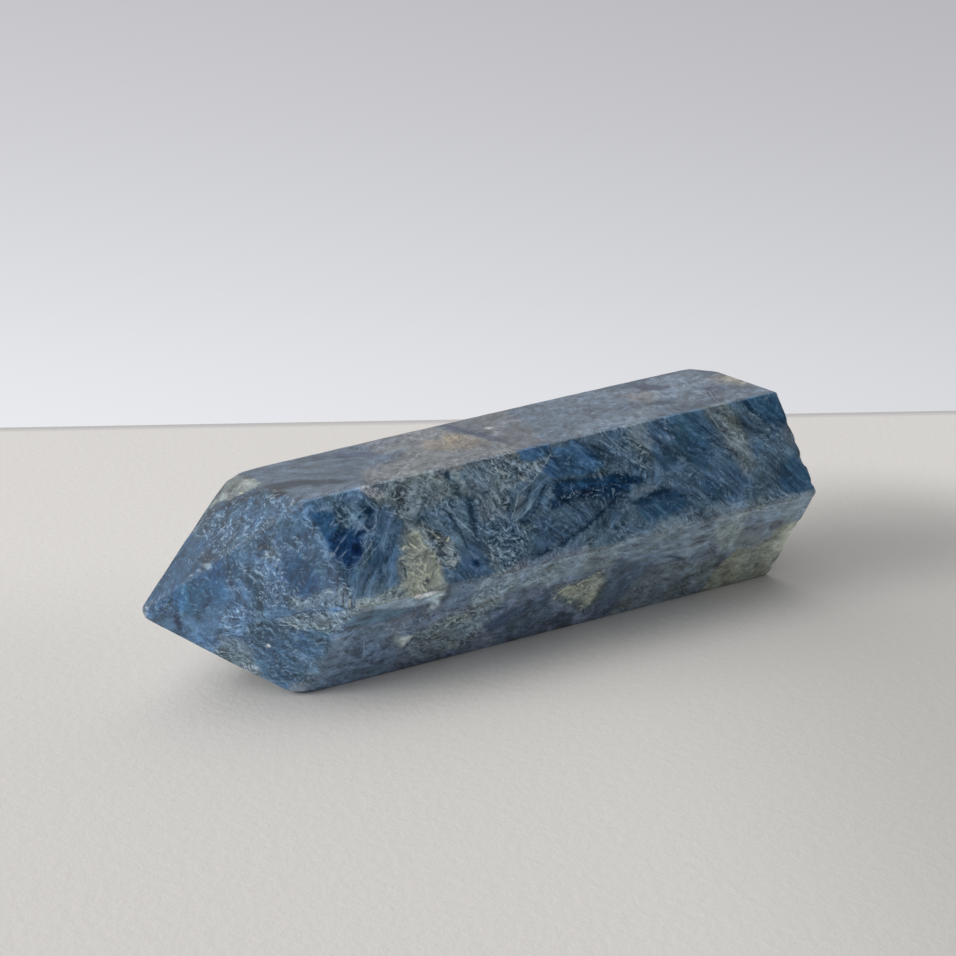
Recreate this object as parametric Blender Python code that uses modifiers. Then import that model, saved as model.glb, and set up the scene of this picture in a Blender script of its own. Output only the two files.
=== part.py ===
"""Kyanite point: one hand-ground, polished six-sided stone lying on a prism face.

Blender 4.5, metres, +Z up.  +X runs from the point towards the sawn foot, and
the stone rests on the flat of its lowest prism face.  The origin is under the
middle of the stone, on the plane it rests on.
"""

import math

import bmesh
import bpy
from mathutils import Matrix, Vector

MM = 0.001

# ---------------------------------------------------------------------------
# Driving dimensions, millimetres and degrees, about the axis of the prism
# ---------------------------------------------------------------------------
BLANK_RADIUS = 17.0          # rough six-sided blank, before grinding
BLANK_BACK = 36.0
BLANK_FRONT = 50.0

# name, direction of the facet around the axis, distance from the axis at the
# middle, and how much the face closes in towards the point
PRISM_FACETS = (
    ("top",         93.4, 10.90, 2.17),
    ("upper_front", 146.3, 10.98, 1.93),
    ("lower_front", 211.4, 10.72, 0.48),
    ("rest",        270.0, 11.00, 0.00),
    ("lower_back",  330.0, 10.90, 0.58),
    ("upper_back",   30.0, 10.87, 1.76),
)

# the shoulder: where each ridge between two prism facets gives way to the
# point, in the same order, the first being top / upper_front
SHOULDER = (-31.7, -29.6, -33.0, -32.0, -32.0, -33.8)
APEX = (-47.8, -0.24, -0.60)

FOOT_STATION = 32.0          # where the saw cut crosses the axis
FOOT_TILT = 1.36             # degrees, leaning back towards the point at the top

# worn corners: direction of the flat that the wear has left, and how far below
# the sharp corner it lies
WORN_SHOULDER_BACK = (Vector((-0.26, 0.47, 0.84)), 0.30)
WORN_SHOULDER_REST = (Vector((-0.22, -0.50, -0.84)), 0.38)
WORN_FOOT_TOP = (Vector((0.62, 0.37, 0.69)), 1.15)
WORN_APEX = (Vector((-1.0, 0.0, -0.05)), 0.45)

EDGE_ROUNDING = 0.22         # polished ridges
EDGE_SEGMENTS = 2

# chips broken out of the rim of the foot: ridge number, share of the way to
# the next ridge, radius and depth of the scoop
CHIPS = (
    (1, 0.60, 1.9, 0.42),
    (1, 0.93, 1.3, 0.30),
    (2, 0.35, 2.2, 0.38),
    (3, 0.55, 1.7, 0.40),
    (4, 0.30, 2.4, 0.55),
    (5, 0.70, 1.6, 0.36),
)

STONE_COLOUR = (0.105, 0.165, 0.235, 1.0)
STONE_ROUGHNESS = 0.16
STONE_IOR = 1.72


# ---------------------------------------------------------------------------
# Geometry of the cuts
# ---------------------------------------------------------------------------
def prism_plane(facet):
    """Unit normal and offset of a prism facet: normal . point = offset."""
    _, around, distance, closing = facet
    a = math.radians(around)
    lean = math.tan(math.radians(closing))
    normal = Vector((-lean, math.cos(a), math.sin(a)))
    size = normal.length
    return normal / size, distance / size


def foot_plane():
    a = math.radians(FOOT_TILT)
    normal = Vector((math.cos(a), 0.0, math.sin(a)))
    return normal, normal.x * FOOT_STATION


def meet(p, q, r):
    """The point where three planes cross."""
    m = Matrix((p[0], q[0], r[0]))
    return m.inverted() @ Vector((p[1], q[1], r[1]))


def station(x):
    return Vector((1.0, 0.0, 0.0)), x


def plane_through(a, b, c, inside):
    normal = (b - a).cross(c - a).normalized()
    if normal.dot(inside - a) > 0.0:
        normal.negate()
    return normal, normal.dot(a)


def grind(bm, plane):
    """Take away everything outside a plane and close the new facet."""
    normal, offset = plane
    cut = bmesh.ops.bisect_plane(
        bm,
        geom=bm.verts[:] + bm.edges[:] + bm.faces[:],
        dist=1e-7,
        plane_co=normal * offset * MM,
        plane_no=normal,
        clear_outer=True,
    )
    rim = [e for e in cut["geom_cut"] if isinstance(e, bmesh.types.BMEdge)]
    if rim:
        bmesh.ops.contextual_create(bm, geom=rim)


def worn(corner, wear):
    direction, depth = wear
    normal = direction.normalized()
    return normal, normal.dot(corner) - depth


# ---------------------------------------------------------------------------
# Build
# ---------------------------------------------------------------------------
def clear_scene():
    for ob in list(bpy.data.objects):
        bpy.data.objects.remove(ob, do_unlink=True)


def new_collection(name):
    group = bpy.data.collections.new(name)
    bpy.context.scene.collection.children.link(group)
    return group


def stone_material():
    material = bpy.data.materials.new("kyanite")
    material.use_nodes = True
    shader = material.node_tree.nodes["Principled BSDF"]
    shader.inputs["Base Color"].default_value = STONE_COLOUR
    shader.inputs["Roughness"].default_value = STONE_ROUGHNESS
    shader.inputs["Metallic"].default_value = 0.0
    shader.inputs["IOR"].default_value = STONE_IOR
    return material


def ground_stone():
    """The stone as it leaves the wheel, still sharp, about the prism axis."""
    bm = bmesh.new()
    bmesh.ops.create_cone(
        bm,
        cap_ends=True,
        cap_tris=False,
        segments=6,
        radius1=BLANK_RADIUS * MM,
        radius2=BLANK_RADIUS * MM,
        depth=(BLANK_BACK + BLANK_FRONT) * MM,
    )
    lay_down = Matrix.Rotation(math.radians(90.0), 4, "Y")
    to_middle = Matrix.Translation(((BLANK_BACK - BLANK_FRONT) * 0.5 * MM, 0.0, 0.0))
    bmesh.ops.transform(bm, matrix=to_middle @ lay_down, verts=bm.verts)

    prism = [prism_plane(f) for f in PRISM_FACETS]
    count = len(prism)
    ridges = [(prism[i], prism[(i + 1) % count]) for i in range(count)]
    shoulder = [meet(a, b, station(x)) for (a, b), x in zip(ridges, SHOULDER)]
    foot = [meet(a, b, foot_plane()) for a, b in ridges]
    apex = Vector(APEX)
    centre = Vector((0.0, 0.0, 0.0))
    point = [
        plane_through(apex, shoulder[i - 1], shoulder[i], centre)
        for i in range(count)
    ]

    for plane in prism:
        grind(bm, plane)
    grind(bm, foot_plane())
    for plane in point:
        grind(bm, plane)
    grind(bm, worn(shoulder[5], WORN_SHOULDER_BACK))
    grind(bm, worn(shoulder[2], WORN_SHOULDER_REST))
    grind(bm, worn(foot[5], WORN_FOOT_TOP))
    grind(bm, worn(apex, WORN_APEX))

    bmesh.ops.dissolve_degenerate(bm, dist=1e-6, edges=bm.edges[:])
    bmesh.ops.recalc_face_normals(bm, faces=bm.faces[:])
    return bm, foot


def resting_shift(bm):
    """The move that puts the origin under the middle, on the resting plane."""
    xs = [v.co.x for v in bm.verts]
    ys = [v.co.y for v in bm.verts]
    zs = [v.co.z for v in bm.verts]
    return Vector((
        -0.5 * (min(xs) + max(xs)),
        -0.5 * (min(ys) + max(ys)),
        -min(zs),
    ))


def chip_cutter(name, foot, chip, shift, group):
    """A shallow scoop out of the rim between two prism facets and the foot."""
    ridge, share, radius, depth = chip
    a = foot[ridge]
    b = foot[(ridge + 1) % len(foot)]
    rim = a.lerp(b, share)
    outward = Vector((0.0, rim.y, rim.z)).normalized()
    lean = (outward + Vector((1.0, 0.0, 0.0))).normalized()
    centre = rim + lean * (radius - depth)
    bm = bmesh.new()
    bmesh.ops.create_icosphere(bm, subdivisions=2, radius=radius * MM)
    mesh = bpy.data.meshes.new(name)
    bm.to_mesh(mesh)
    bm.free()
    cutter = bpy.data.objects.new(name, mesh)
    cutter.location = centre * MM + shift
    cutter.rotation_euler = (0.7 + ridge, 0.4 * ridge, 1.1 - ridge)
    cutter.hide_render = True
    cutter.display_type = "WIRE"
    group.objects.link(cutter)
    return cutter


def main():
    clear_scene()
    parts = new_collection("kyanite_point_parts")
    cutters = new_collection("kyanite_point_cutters")

    bm, foot = ground_stone()
    shift = resting_shift(bm)
    bmesh.ops.translate(bm, verts=bm.verts, vec=shift)
    mesh = bpy.data.meshes.new("kyanite_point")
    bm.to_mesh(mesh)
    bm.free()
    mesh.materials.append(stone_material())

    stone = bpy.data.objects.new("kyanite_point", mesh)
    parts.objects.link(stone)

    rounding = stone.modifiers.new("polished ridges", "BEVEL")
    rounding.width = EDGE_ROUNDING * MM
    rounding.segments = EDGE_SEGMENTS
    rounding.limit_method = "ANGLE"
    rounding.angle_limit = math.radians(12.0)
    rounding.use_clamp_overlap = True

    for number, chip in enumerate(CHIPS, start=1):
        cutter = chip_cutter("foot_chip_%d" % number, foot, chip, shift, cutters)
        cut = stone.modifiers.new("foot chip %d" % number, "BOOLEAN")
        cut.operation = "DIFFERENCE"
        cut.solver = "EXACT"
        cut.object = cutter


main()
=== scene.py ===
"""Kyanite point: the looks of one polished stone lying on a prism face.

The stone is one dense mesh, ground to the same facets as the solid it stands
for, with worn ridges, nicks and a sawn foot.  Its grain is painted in two
layers: broad bodies of colour that are set in the stone, and fine fibres,
vein strokes and flecks that come from noise in the stone's own space.  The
vein strokes carry painted glints with painted shade beside them, and each
facet's colour is set for the light that facet gets, so painted light and
shade lie in the facet colours too.
"""

import math

import bpy
import numpy as np
from mathutils import Matrix, Vector


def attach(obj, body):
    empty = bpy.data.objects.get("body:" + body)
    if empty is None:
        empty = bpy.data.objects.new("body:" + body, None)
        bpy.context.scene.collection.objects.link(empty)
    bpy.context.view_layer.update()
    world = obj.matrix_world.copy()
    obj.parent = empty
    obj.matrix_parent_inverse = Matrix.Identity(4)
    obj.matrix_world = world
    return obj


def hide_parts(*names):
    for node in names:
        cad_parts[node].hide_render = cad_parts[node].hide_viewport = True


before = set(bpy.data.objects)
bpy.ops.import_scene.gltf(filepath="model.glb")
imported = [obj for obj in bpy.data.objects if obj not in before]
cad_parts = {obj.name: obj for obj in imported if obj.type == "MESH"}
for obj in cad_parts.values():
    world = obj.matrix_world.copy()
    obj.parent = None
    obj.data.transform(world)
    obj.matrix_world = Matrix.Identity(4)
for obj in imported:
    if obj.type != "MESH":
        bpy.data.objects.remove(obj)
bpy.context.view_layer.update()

MM = 0.001

# ===========================================================================
# Facets, in millimetres and degrees about the axis of the prism
# ===========================================================================
PRISM_FACETS = (
    ("top",         93.4, 10.90, 2.17),
    ("upper_front", 146.3, 10.98, 1.93),
    ("lower_front", 211.4, 10.72, 0.48),
    ("rest",        270.0, 11.00, 0.00),
    ("lower_back",  330.0, 10.90, 0.58),
    ("upper_back",   30.0, 10.87, 1.76),
)
SHOULDER = (-31.7, -29.6, -33.0, -32.0, -32.0, -33.8)
APEX = np.array((-47.8, -0.24, -0.60))
FOOT_STATION = 32.0
FOOT_TILT = 1.36
SHIFT = np.array((7.552, 0.162, 11.0))      # from the prism axis to the row frame

# worn flats: direction, corner (kind, ridge), depth under the sharp corner,
# and how broad the rounding round it is (smaller is broader)
WORN = (
    ((-0.26, 0.47, 0.84), ("shoulder", 5), 0.30),
    ((-0.22, -0.50, -0.84), ("shoulder", 2), 0.38),
    ((0.62, 0.37, 0.69), ("foot", 5), 1.15),
    ((-1.0, 0.0, -0.05), ("apex", 0), 0.50),
)
SOFT_SPOTS = (
    (("apex", 0), 1.6, 3.2),
    (("foot", 5), 3.4, 2.6),
    (("shoulder", 5), 2.2, 5.0),
    (("shoulder", 2), 2.2, 5.5),
    (("foot", 2), 1.3, 5.0),
    (("foot", 3), 1.6, 5.0),
    (("foot", 4), 1.2, 6.0),
)

# scoops broken out of edges: edge (kind, ridge, share along it), radius, depth
SCOOPS = (
    # the row of small chips on the ridge that runs down from the shoulder
    ("tip", 0, 0.583, 0.62, 0.20),
    ("tip", 0, 0.607, 0.40, 0.07),
    ("tip", 0, 0.636, 0.42, 0.12),
    ("tip", 0, 0.655, 0.30, 0.06),
    ("tip", 0, 0.679, 0.42, 0.11),
    ("tip", 0, 0.702, 0.30, 0.05),
    # bruises on the shoulder and the long ridges
    ("shoulder", 0, 0.97, 0.55, 0.14),
    ("shoulder", 0, 0.50, 0.40, 0.09),
    ("shoulder", 5, 0.62, 0.50, 0.08),
    ("shoulder", 1, 0.35, 0.45, 0.07),
    ("shoulder", 3, 0.55, 0.60, 0.13),
    ("shoulder", 4, 0.30, 0.50, 0.10),
    ("ridge", 1, 0.31, 0.50, 0.07),
    ("ridge", 1, 0.66, 0.45, 0.06),
    ("ridge", 0, 0.18, 0.50, 0.07),
    ("ridge", 4, 0.22, 0.60, 0.11),
    ("ridge", 4, 0.71, 0.50, 0.08),
    ("ridge", 3, 0.47, 0.60, 0.10),
    ("tip", 3, 0.44, 0.50, 0.10),
    ("tip", 4, 0.62, 0.45, 0.08),
    ("tip", 2, 0.30, 0.45, 0.08),
    # the rim of the foot
    ("foot", 1, 0.47, 2.0, 0.46),
    ("foot", 1, 0.605, 0.8, 0.60),
    ("foot", 1, 0.37, 0.5, 0.36),
    ("foot", 1, 0.88, 1.1, 0.34),
    ("foot", 0, 0.655, 1.1, 0.40),
    ("foot", 0, 0.49, 0.6, 0.28),
    ("foot", 0, 0.90, 0.7, 0.28),
    ("foot", 0, 0.30, 1.0, 0.27),
    ("foot", 2, 0.35, 2.2, 0.38),
    ("foot", 2, 0.72, 1.4, 0.20),
    ("foot", 3, 0.55, 1.7, 0.40),
    ("foot", 3, 0.20, 1.2, 0.20),
    ("foot", 4, 0.30, 2.4, 0.55),
    ("foot", 4, 0.58, 1.5, 0.24),
    ("foot", 5, 0.70, 1.2, 0.12),
    ("foot", 5, 0.42, 1.0, 0.08),
)


# ===========================================================================
# Noise on arrays of points
# ===========================================================================
class Noise:
    """Gradient noise in three dimensions, seeded, about -0.7 to 0.7."""

    def __init__(self, seed):
        rng = np.random.default_rng(seed)
        self.table = rng.permutation(256)
        grad = rng.normal(size=(256, 3))
        self.grad = grad / np.linalg.norm(grad, axis=1)[:, None]

    def at(self, points, scale):
        x = points * scale
        cell = np.floor(x).astype(int)
        f = x - cell
        u = f * f * f * (f * (f * 6 - 15) + 10)
        total = np.zeros(len(points))
        t = self.table
        for dx in (0, 1):
            a = t[(cell[:, 0] + dx) & 255]
            wx = u[:, 0] if dx else 1 - u[:, 0]
            for dy in (0, 1):
                b = t[(a + cell[:, 1] + dy) & 255]
                wy = u[:, 1] if dy else 1 - u[:, 1]
                for dz in (0, 1):
                    g = self.grad[t[(b + cell[:, 2] + dz) & 255]]
                    wz = u[:, 2] if dz else 1 - u[:, 2]
                    reach = f - np.array((dx, dy, dz))
                    total += wx * wy * wz * (g * reach).sum(1)
        return total

    def fractal(self, points, scale, octaves=4, gain=0.5):
        total, size = np.zeros(len(points)), 1.0
        for k in range(octaves):
            total += size * self.at(points + 17.3 * k, scale)
            scale *= 2.03
            size *= gain
        return total


def smoothstep(a, b, x):
    t = np.clip((x - a) / (b - a), 0.0, 1.0)
    return t * t * (3 - 2 * t)


# ===========================================================================
# Planes and corners of the ground stone
# ===========================================================================
def unit(v):
    v = np.asarray(v, float)
    return v / np.linalg.norm(v)


def prism_plane(facet):
    _, around, distance, closing = facet
    a, lean = math.radians(around), math.tan(math.radians(closing))
    n = np.array((-lean, math.cos(a), math.sin(a)))
    size = np.linalg.norm(n)
    return n / size, distance / size


def meet(*planes):
    return np.linalg.solve(np.array([p[0] for p in planes]), np.array([p[1] for p in planes]))


PRISM = [prism_plane(f) for f in PRISM_FACETS]
SAW = (
    np.array((math.cos(math.radians(FOOT_TILT)), 0.0, math.sin(math.radians(FOOT_TILT)))),
    math.cos(math.radians(FOOT_TILT)) * FOOT_STATION,
)
RIDGES = [(PRISM[i], PRISM[(i + 1) % 6]) for i in range(6)]
SHOULDERS = np.array([
    meet(a, b, (np.array((1.0, 0.0, 0.0)), x)) for (a, b), x in zip(RIDGES, SHOULDER)
])
FEET = np.array([meet(a, b, SAW) for a, b in RIDGES])


def plane_through(a, b, c):
    n = unit(np.cross(b - a, c - a))
    if n @ a < 0:
        n = -n
    return n, n @ a


TIP = [plane_through(APEX, SHOULDERS[i - 1], SHOULDERS[i]) for i in range(6)]


def corner(kind, ridge):
    return {"apex": APEX, "shoulder": SHOULDERS[ridge], "foot": FEET[ridge]}[kind]


def worn_plane(direction, where, depth):
    n = unit(direction)
    return n, n @ corner(*where) - depth


PLANES = PRISM + TIP + [SAW] + [worn_plane(*w) for w in WORN]
NORMALS = np.array([p[0] for p in PLANES])
OFFSETS = np.array([p[1] for p in PLANES])
SAW_INDEX = 12


def face_frame(plane):
    """Along and across directions in a facet, for laying the grain out in it."""
    n = plane[0]
    along = np.array((1.0, 0.0, 0.0))
    along = unit(along - (along @ n) * n)
    return along, np.cross(n, along)


# ===========================================================================
# The mesh: rings round the stone, from the apex to the middle of the foot
# ===========================================================================
ACROSS = 48                      # steps from ridge to ridge


def clustered(count, ends=0.12, power=1.6):
    """Steps from 0 to 1 that crowd towards both ends."""
    t = np.linspace(0.0, 1.0, count // 2 + 1)
    half = ends * t + (1 - ends) * t ** power
    return np.concatenate((half * 0.5, 1 - half[::-1][1:] * 0.5))


def marching(length, start, step, near_end=None):
    """Stations from 0 to length: short steps first, growing to an even step."""
    out, x, size = [0.0], 0.0, start
    while x < length:
        x += size
        size = min(step, size * 1.32)
        out.append(x)
    out = np.array(out) * (length / out[-1])
    return out


def make_rings():
    across = clustered(ACROSS)
    rings = []                   # (steps per sector, points, zone)

    def ring(corners, every):
        v = across[::every][:-1]
        points = [
            corners[i] + (corners[(i + 1) % 6] - corners[i]) * v[:, None]
            for i in range(6)
        ]
        return ACROSS // every, np.concatenate(points)

    # tip, from the apex outwards
    slant = np.linalg.norm(SHOULDERS.mean(0) - APEX)
    stations = marching(slant, 0.06, 0.29)
    stations = 1 - stations[::-1] / slant          # 0 at the apex, 1 at the shoulder
    near = np.array((0.004, 0.009, 0.016, 0.025, 0.036))
    stations = np.concatenate((near, stations[stations > 0.045]))
    for u in stations:
        every = 16 if u < 0.03 else 8 if u < 0.08 else 4 if u < 0.2 else 2 if u < 0.45 else 1
        rings.append(ring(APEX + (SHOULDERS - APEX) * u, every))
    # prism
    length = 64.0
    first = marching(length / 2, 0.06, 0.29) / length
    stations = np.concatenate((first, 1 - first[::-1][1:]))
    for u in stations[1:]:
        rings.append(ring(SHOULDERS + (FEET - SHOULDERS) * u, 1))
    # foot
    middle = FEET.mean(0)
    middle = middle - (SAW[0] @ middle - SAW[1]) * SAW[0]
    radius = np.linalg.norm(FEET - middle, axis=1).mean()
    stations = marching(radius, 0.06, 0.34) / radius
    for u in stations[1:-1]:
        left = 1 - u
        every = 16 if left < 0.05 else 8 if left < 0.12 else 4 if left < 0.28 else 2 if left < 0.6 else 1
        rings.append(ring(FEET + (middle - FEET) * u, every))
    return rings, middle


def stitch(rings, middle):
    """One closed skin over the rings, with a point at each pole."""
    points = [APEX[None]]
    starts, count = [], 1
    for _, p in rings:
        starts.append(count)
        points.append(p)
        count += len(p)
    points.append(middle[None])
    last = count
    faces = []
    n0 = len(rings[0][1])
    for j in range(n0):
        faces.append((0, starts[0] + j, starts[0] + (j + 1) % n0))
    for k in range(len(rings) - 1):
        a, b = starts[k], starts[k + 1]
        na, nb = len(rings[k][1]), len(rings[k + 1][1])
        if na == nb:
            j = np.arange(na)
            j1 = (j + 1) % na
            faces.extend(zip((a + j).tolist(), (b + j).tolist(), (b + j1).tolist(), (a + j1).tolist()))
        elif nb == 2 * na:
            for j in range(na):
                j1 = (j + 1) % na
                b0, b1, b2 = b + 2 * j, b + 2 * j + 1, b + (2 * j + 2) % nb
                faces += [(a + j, b0, b1), (a + j, b1, a + j1), (a + j1, b1, b2)]
        else:
            for j in range(nb):
                j1 = (j + 1) % nb
                a0, a1, a2 = a + 2 * j, a + 2 * j + 1, a + (2 * j + 2) % na
                faces += [(a0, b + j, a1), (a1, b + j, b + j1), (a1, b + j1, a2)]
    n1 = len(rings[-1][1])
    for j in range(n1):
        faces.append((starts[-1] + j, last, starts[-1] + (j + 1) % n1))
    return np.concatenate(points), faces


def crispness(points, noise):
    """How sharp each place is ground, per millimetre: higher is sharper."""
    k = 15.0 * (1.0 + 0.9 * noise.fractal(points, 0.35, 3))
    k = np.clip(k, 6.5, 26.0)
    for where, reach, value in SOFT_SPOTS:
        near = np.exp(-(np.linalg.norm(points - corner(*where), axis=1) / reach) ** 2)
        k = k * (1 - near) + value * near
    # the edge of the shoulder facing up and forward is worn broader
    a, b = SHOULDERS[0], SHOULDERS[1]
    t = np.clip(((points - a) @ (b - a)) / ((b - a) @ (b - a)), 0, 1)
    d = np.linalg.norm(points - (a + t[:, None] * (b - a)), axis=1)
    near = np.exp(-(d / 0.9) ** 2) * (0.55 + 0.3 * np.sin(t * 9.0))
    return k * (1 - near) + 5.0 * near


def edge_point(kind, ridge, share):
    nxt = (ridge + 1) % 6
    if kind == "tip":
        return SHOULDERS[ridge] + (APEX - SHOULDERS[ridge]) * share
    if kind == "ridge":
        return SHOULDERS[ridge] + (FEET[ridge] - SHOULDERS[ridge]) * share
    if kind == "shoulder":
        return SHOULDERS[ridge] + (SHOULDERS[nxt] - SHOULDERS[ridge]) * share
    return FEET[ridge] + (FEET[nxt] - FEET[ridge]) * share


def edge_out(kind, ridge):
    """The way out of the stone at an edge, halfway between its two facets."""
    nxt = (ridge + 1) % 6
    if kind == "tip":
        return unit(TIP[ridge][0] + TIP[nxt][0])
    if kind == "ridge":
        return unit(PRISM[ridge][0] + PRISM[nxt][0])
    if kind == "shoulder":
        return unit(PRISM[nxt][0] + TIP[nxt][0])
    return unit(PRISM[nxt][0] + SAW[0])


def surface(points):
    """Moves points of the sharp stone onto its ground and worn surface."""
    grit = Noise(11)
    wide = Noise(12)
    core = np.zeros_like(points)
    core[:, 0] = np.clip(points[:, 0], -38.0, 24.0)
    reach = points - core

    k = crispness(points, grit)
    bulge = np.zeros((len(points), len(PLANES)))
    x = np.clip(points[:, 0] / 33.0, -1, 1)
    for i in range(6):
        _, across = face_frame(PRISM[i])
        y = np.clip((points @ across) / 6.6, -1, 1)
        bulge[:, i] = 0.13 * (1 - x ** 2) * (1 - 0.45 * y ** 2)
        bulge[:, i] += 0.020 * wide.fractal(points + 31 * i, 0.085, 2)
    bulge[:, 3] = 0.0                              # it lies flat
    for i in range(6):
        mid = (SHOULDERS[i - 1] + SHOULDERS[i] + APEX) / 3
        d = np.linalg.norm(points - mid, axis=1)
        bulge[:, 6 + i] = 0.09 * np.exp(-(d / 6.5) ** 2)
        bulge[:, 6 + i] += 0.015 * wide.fractal(points + 57 * i, 0.14, 2)
    # the saw left the foot a little wavy, and grains pulled out of it
    saw = 0.05 * wide.fractal(points * np.array((1, 0.5, 1.6)), 0.22, 3)
    saw += 0.016 * np.sin(points[:, 2] * 2.1 + 2.2 * wide.at(points, 0.12))
    pulled = grit.fractal(points, 0.75, 4)
    saw -= 0.22 * smoothstep(0.30, 0.62, pulled)
    bulge[:, SAW_INDEX] = saw - 0.05

    scoops = []
    rng = np.random.default_rng(5)
    for kind, ridge, share, radius, depth in SCOOPS:
        out = edge_out(kind, ridge)
        tilt = unit(out + 0.25 * rng.normal(size=3))
        at = edge_point(kind, ridge, share)
        scoops.append((at + tilt * (radius - depth), radius))
    rough = 1.0 + 0.10 * grit.fractal(points, 1.7, 3)

    def outside(p):
        g = p @ NORMALS.T - OFFSETS - bulge
        m = g.max(1)
        value = m + np.log(np.exp((g - m[:, None]) * k[:, None]).sum(1)) / k
        for centre, radius in scoops:
            near = np.linalg.norm(p - centre, axis=1)
            value = np.maximum(value, radius * rough - near)
        return value

    low, high = np.full(len(points), 0.70), np.full(len(points), 1.04)
    for _ in range(24):
        mid = 0.5 * (low + high)
        out = outside(core + reach * mid[:, None]) > 0
        high = np.where(out, mid, high)
        low = np.where(out, low, mid)
    ground = core + reach * (0.5 * (low + high))[:, None]
    # how far the wear has gone below the sharp planes, for the finish
    worn = -(ground @ NORMALS[:13].T - OFFSETS[:13]).max(1)
    chipped = np.full(len(points), 9.0)
    for centre, radius in scoops[6:]:
        chipped = np.minimum(chipped, np.abs(np.linalg.norm(ground - centre, axis=1) - radius * rough))
    return ground, worn, chipped


# ===========================================================================
# Palette of the grain, as it is seen in the room's light (sRGB 0 to 255)
# ===========================================================================
def tone(r, g, b):
    c = np.array((r, g, b), float) / 255.0
    return np.where(c <= 0.04045, c / 12.92, ((c + 0.055) / 1.055) ** 2.4)


DEEP = tone(14, 40, 66)
NAVY = tone(29, 53, 77)
ROYAL = tone(28, 58, 94)
COBALT = tone(10, 42, 86)
BLUE = tone(44, 70, 92)
LAPIS = tone(52, 80, 108)
INK = tone(54, 65, 84)
SMOKE = tone(57, 68, 81)
TEAL = tone(62, 80, 95)
SLATE = tone(68, 91, 113)
ASH = tone(76, 86, 92)
STEEL = tone(84, 97, 107)
AZURE = tone(84, 107, 131)
GREEN = tone(94, 105, 109)
OLIVE = tone(99, 104, 97)
MIST = tone(109, 120, 132)
IRON = tone(70, 79, 92)
DUSK = tone(98, 104, 118)
DOVE = tone(126, 130, 132)
SKY = tone(84, 110, 138)
SAND = tone(156, 143, 122)
BEIGE = tone(121, 127, 125)
HAZE = tone(127, 132, 137)
CREAM = tone(146, 146, 135)
PALE = tone(184, 188, 182)

# what each facet gets from the room: how much light falls on it, and how much
# of the room it mirrors to the eye.  Tones are laid as seen, and each facet's
# colour is the seen tone less what it mirrors, divided by the light on it.  So
# the colours are set facet by facet for this light: facets that get little light
# are painted paler and facets that get much light darker, which is painted light
# and shade on top of the stone's own colour.
LIGHT = {0: np.array((0.640, 0.680, 0.705)), 1: 0.50, 2: 0.305, 6: 1.05, 7: 0.795, 8: 0.585}
MIRRORED = {0: 0.085, 1: 0.002, 2: 0.017, 6: 0.066, 7: 0.038, 8: 0.028}
PLAIN_LIGHT = 0.58

# Soft outlines and the fine pattern blend tones into each other, so they are
# laid a little further from the middle tone of their facet than they look.
MIDDLE = {0: tone(113, 121, 131), 1: tone(62, 81, 96), 2: tone(74, 84, 94), 6: tone(100, 115, 130),
          7: tone(80, 104, 128), 8: tone(86, 105, 126)}
PLAIN_MIDDLE = tone(66, 84, 98)
STRETCH = 1.55
# the fine veins carry painted glints and painted shade; this says how much they show on each facet
CRUMPLED = {0: 0.35, 1: 1.15, 2: 1.0, 6: 1.1, 7: 1.45, 8: 1.5}      # how much its fine veins show
BRUSHED = {0: 0.6}                                                # and its hairs
LUMA = np.array((0.30, 0.59, 0.11))


def colour_with_painted_facet_light(seen, face):
    """The colour painted on a facet so that it shows a seen tone: the facet's light and mirror are divided and taken
    out, so it carries painted light and shade, facet by facet.
    """
    middle = MIDDLE.get(face, PLAIN_MIDDLE)
    seen = seen * (((seen @ LUMA) / (middle @ LUMA)) ** (STRETCH - 1.0))[..., None]
    colour = (seen - MIRRORED.get(face, 0.01)) / LIGHT.get(face, PLAIN_LIGHT)
    return np.maximum(colour, (0.004, 0.010, 0.022))


# ===========================================================================
# Bodies of colour set in the stone.  Each is an outline on one facet, in
# millimetres along (the point is at the low end) and across, that goes a few
# millimetres into the stone.  crinkle, fibre and flecks say how much of each
# fine pattern it carries, and flow which way the fibres run: rising to the
# right, falling to the right, lengthwise, and slightly rising.
# ===========================================================================
RISE, FALL, LONG, SLANT = (1, 0, 0, 0), (0, 1, 0, 0), (0, 0, 1, 0), (0, 0, 0, 1)
DIP = (0, 0.4, 0.6, 0)


def body(colour, *outline, shade=1.0, amount=1.0, soft=0.35, wobble=0.35, depth=2.4,
         crinkle=None, fibre=None, flecks=None, flow=None):
    return dict(colour=colour * shade, outline=np.array(outline, float), amount=amount, soft=soft,
                wobble=wobble, depth=depth, crinkle=crinkle, fibre=fibre, flecks=flecks,
                flow=flow, line=None)


def streak(colour, width, *points, amount=1.0, soft=0.12, wobble=0.15, depth=1.2,
           crinkle=None, fibre=None, flecks=None, flow=None):
    return dict(colour=colour, outline=np.array(points, float), amount=amount, soft=soft,
                wobble=wobble, depth=depth, crinkle=crinkle, fibre=fibre, flecks=flecks,
                flow=flow, line=width)


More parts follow.
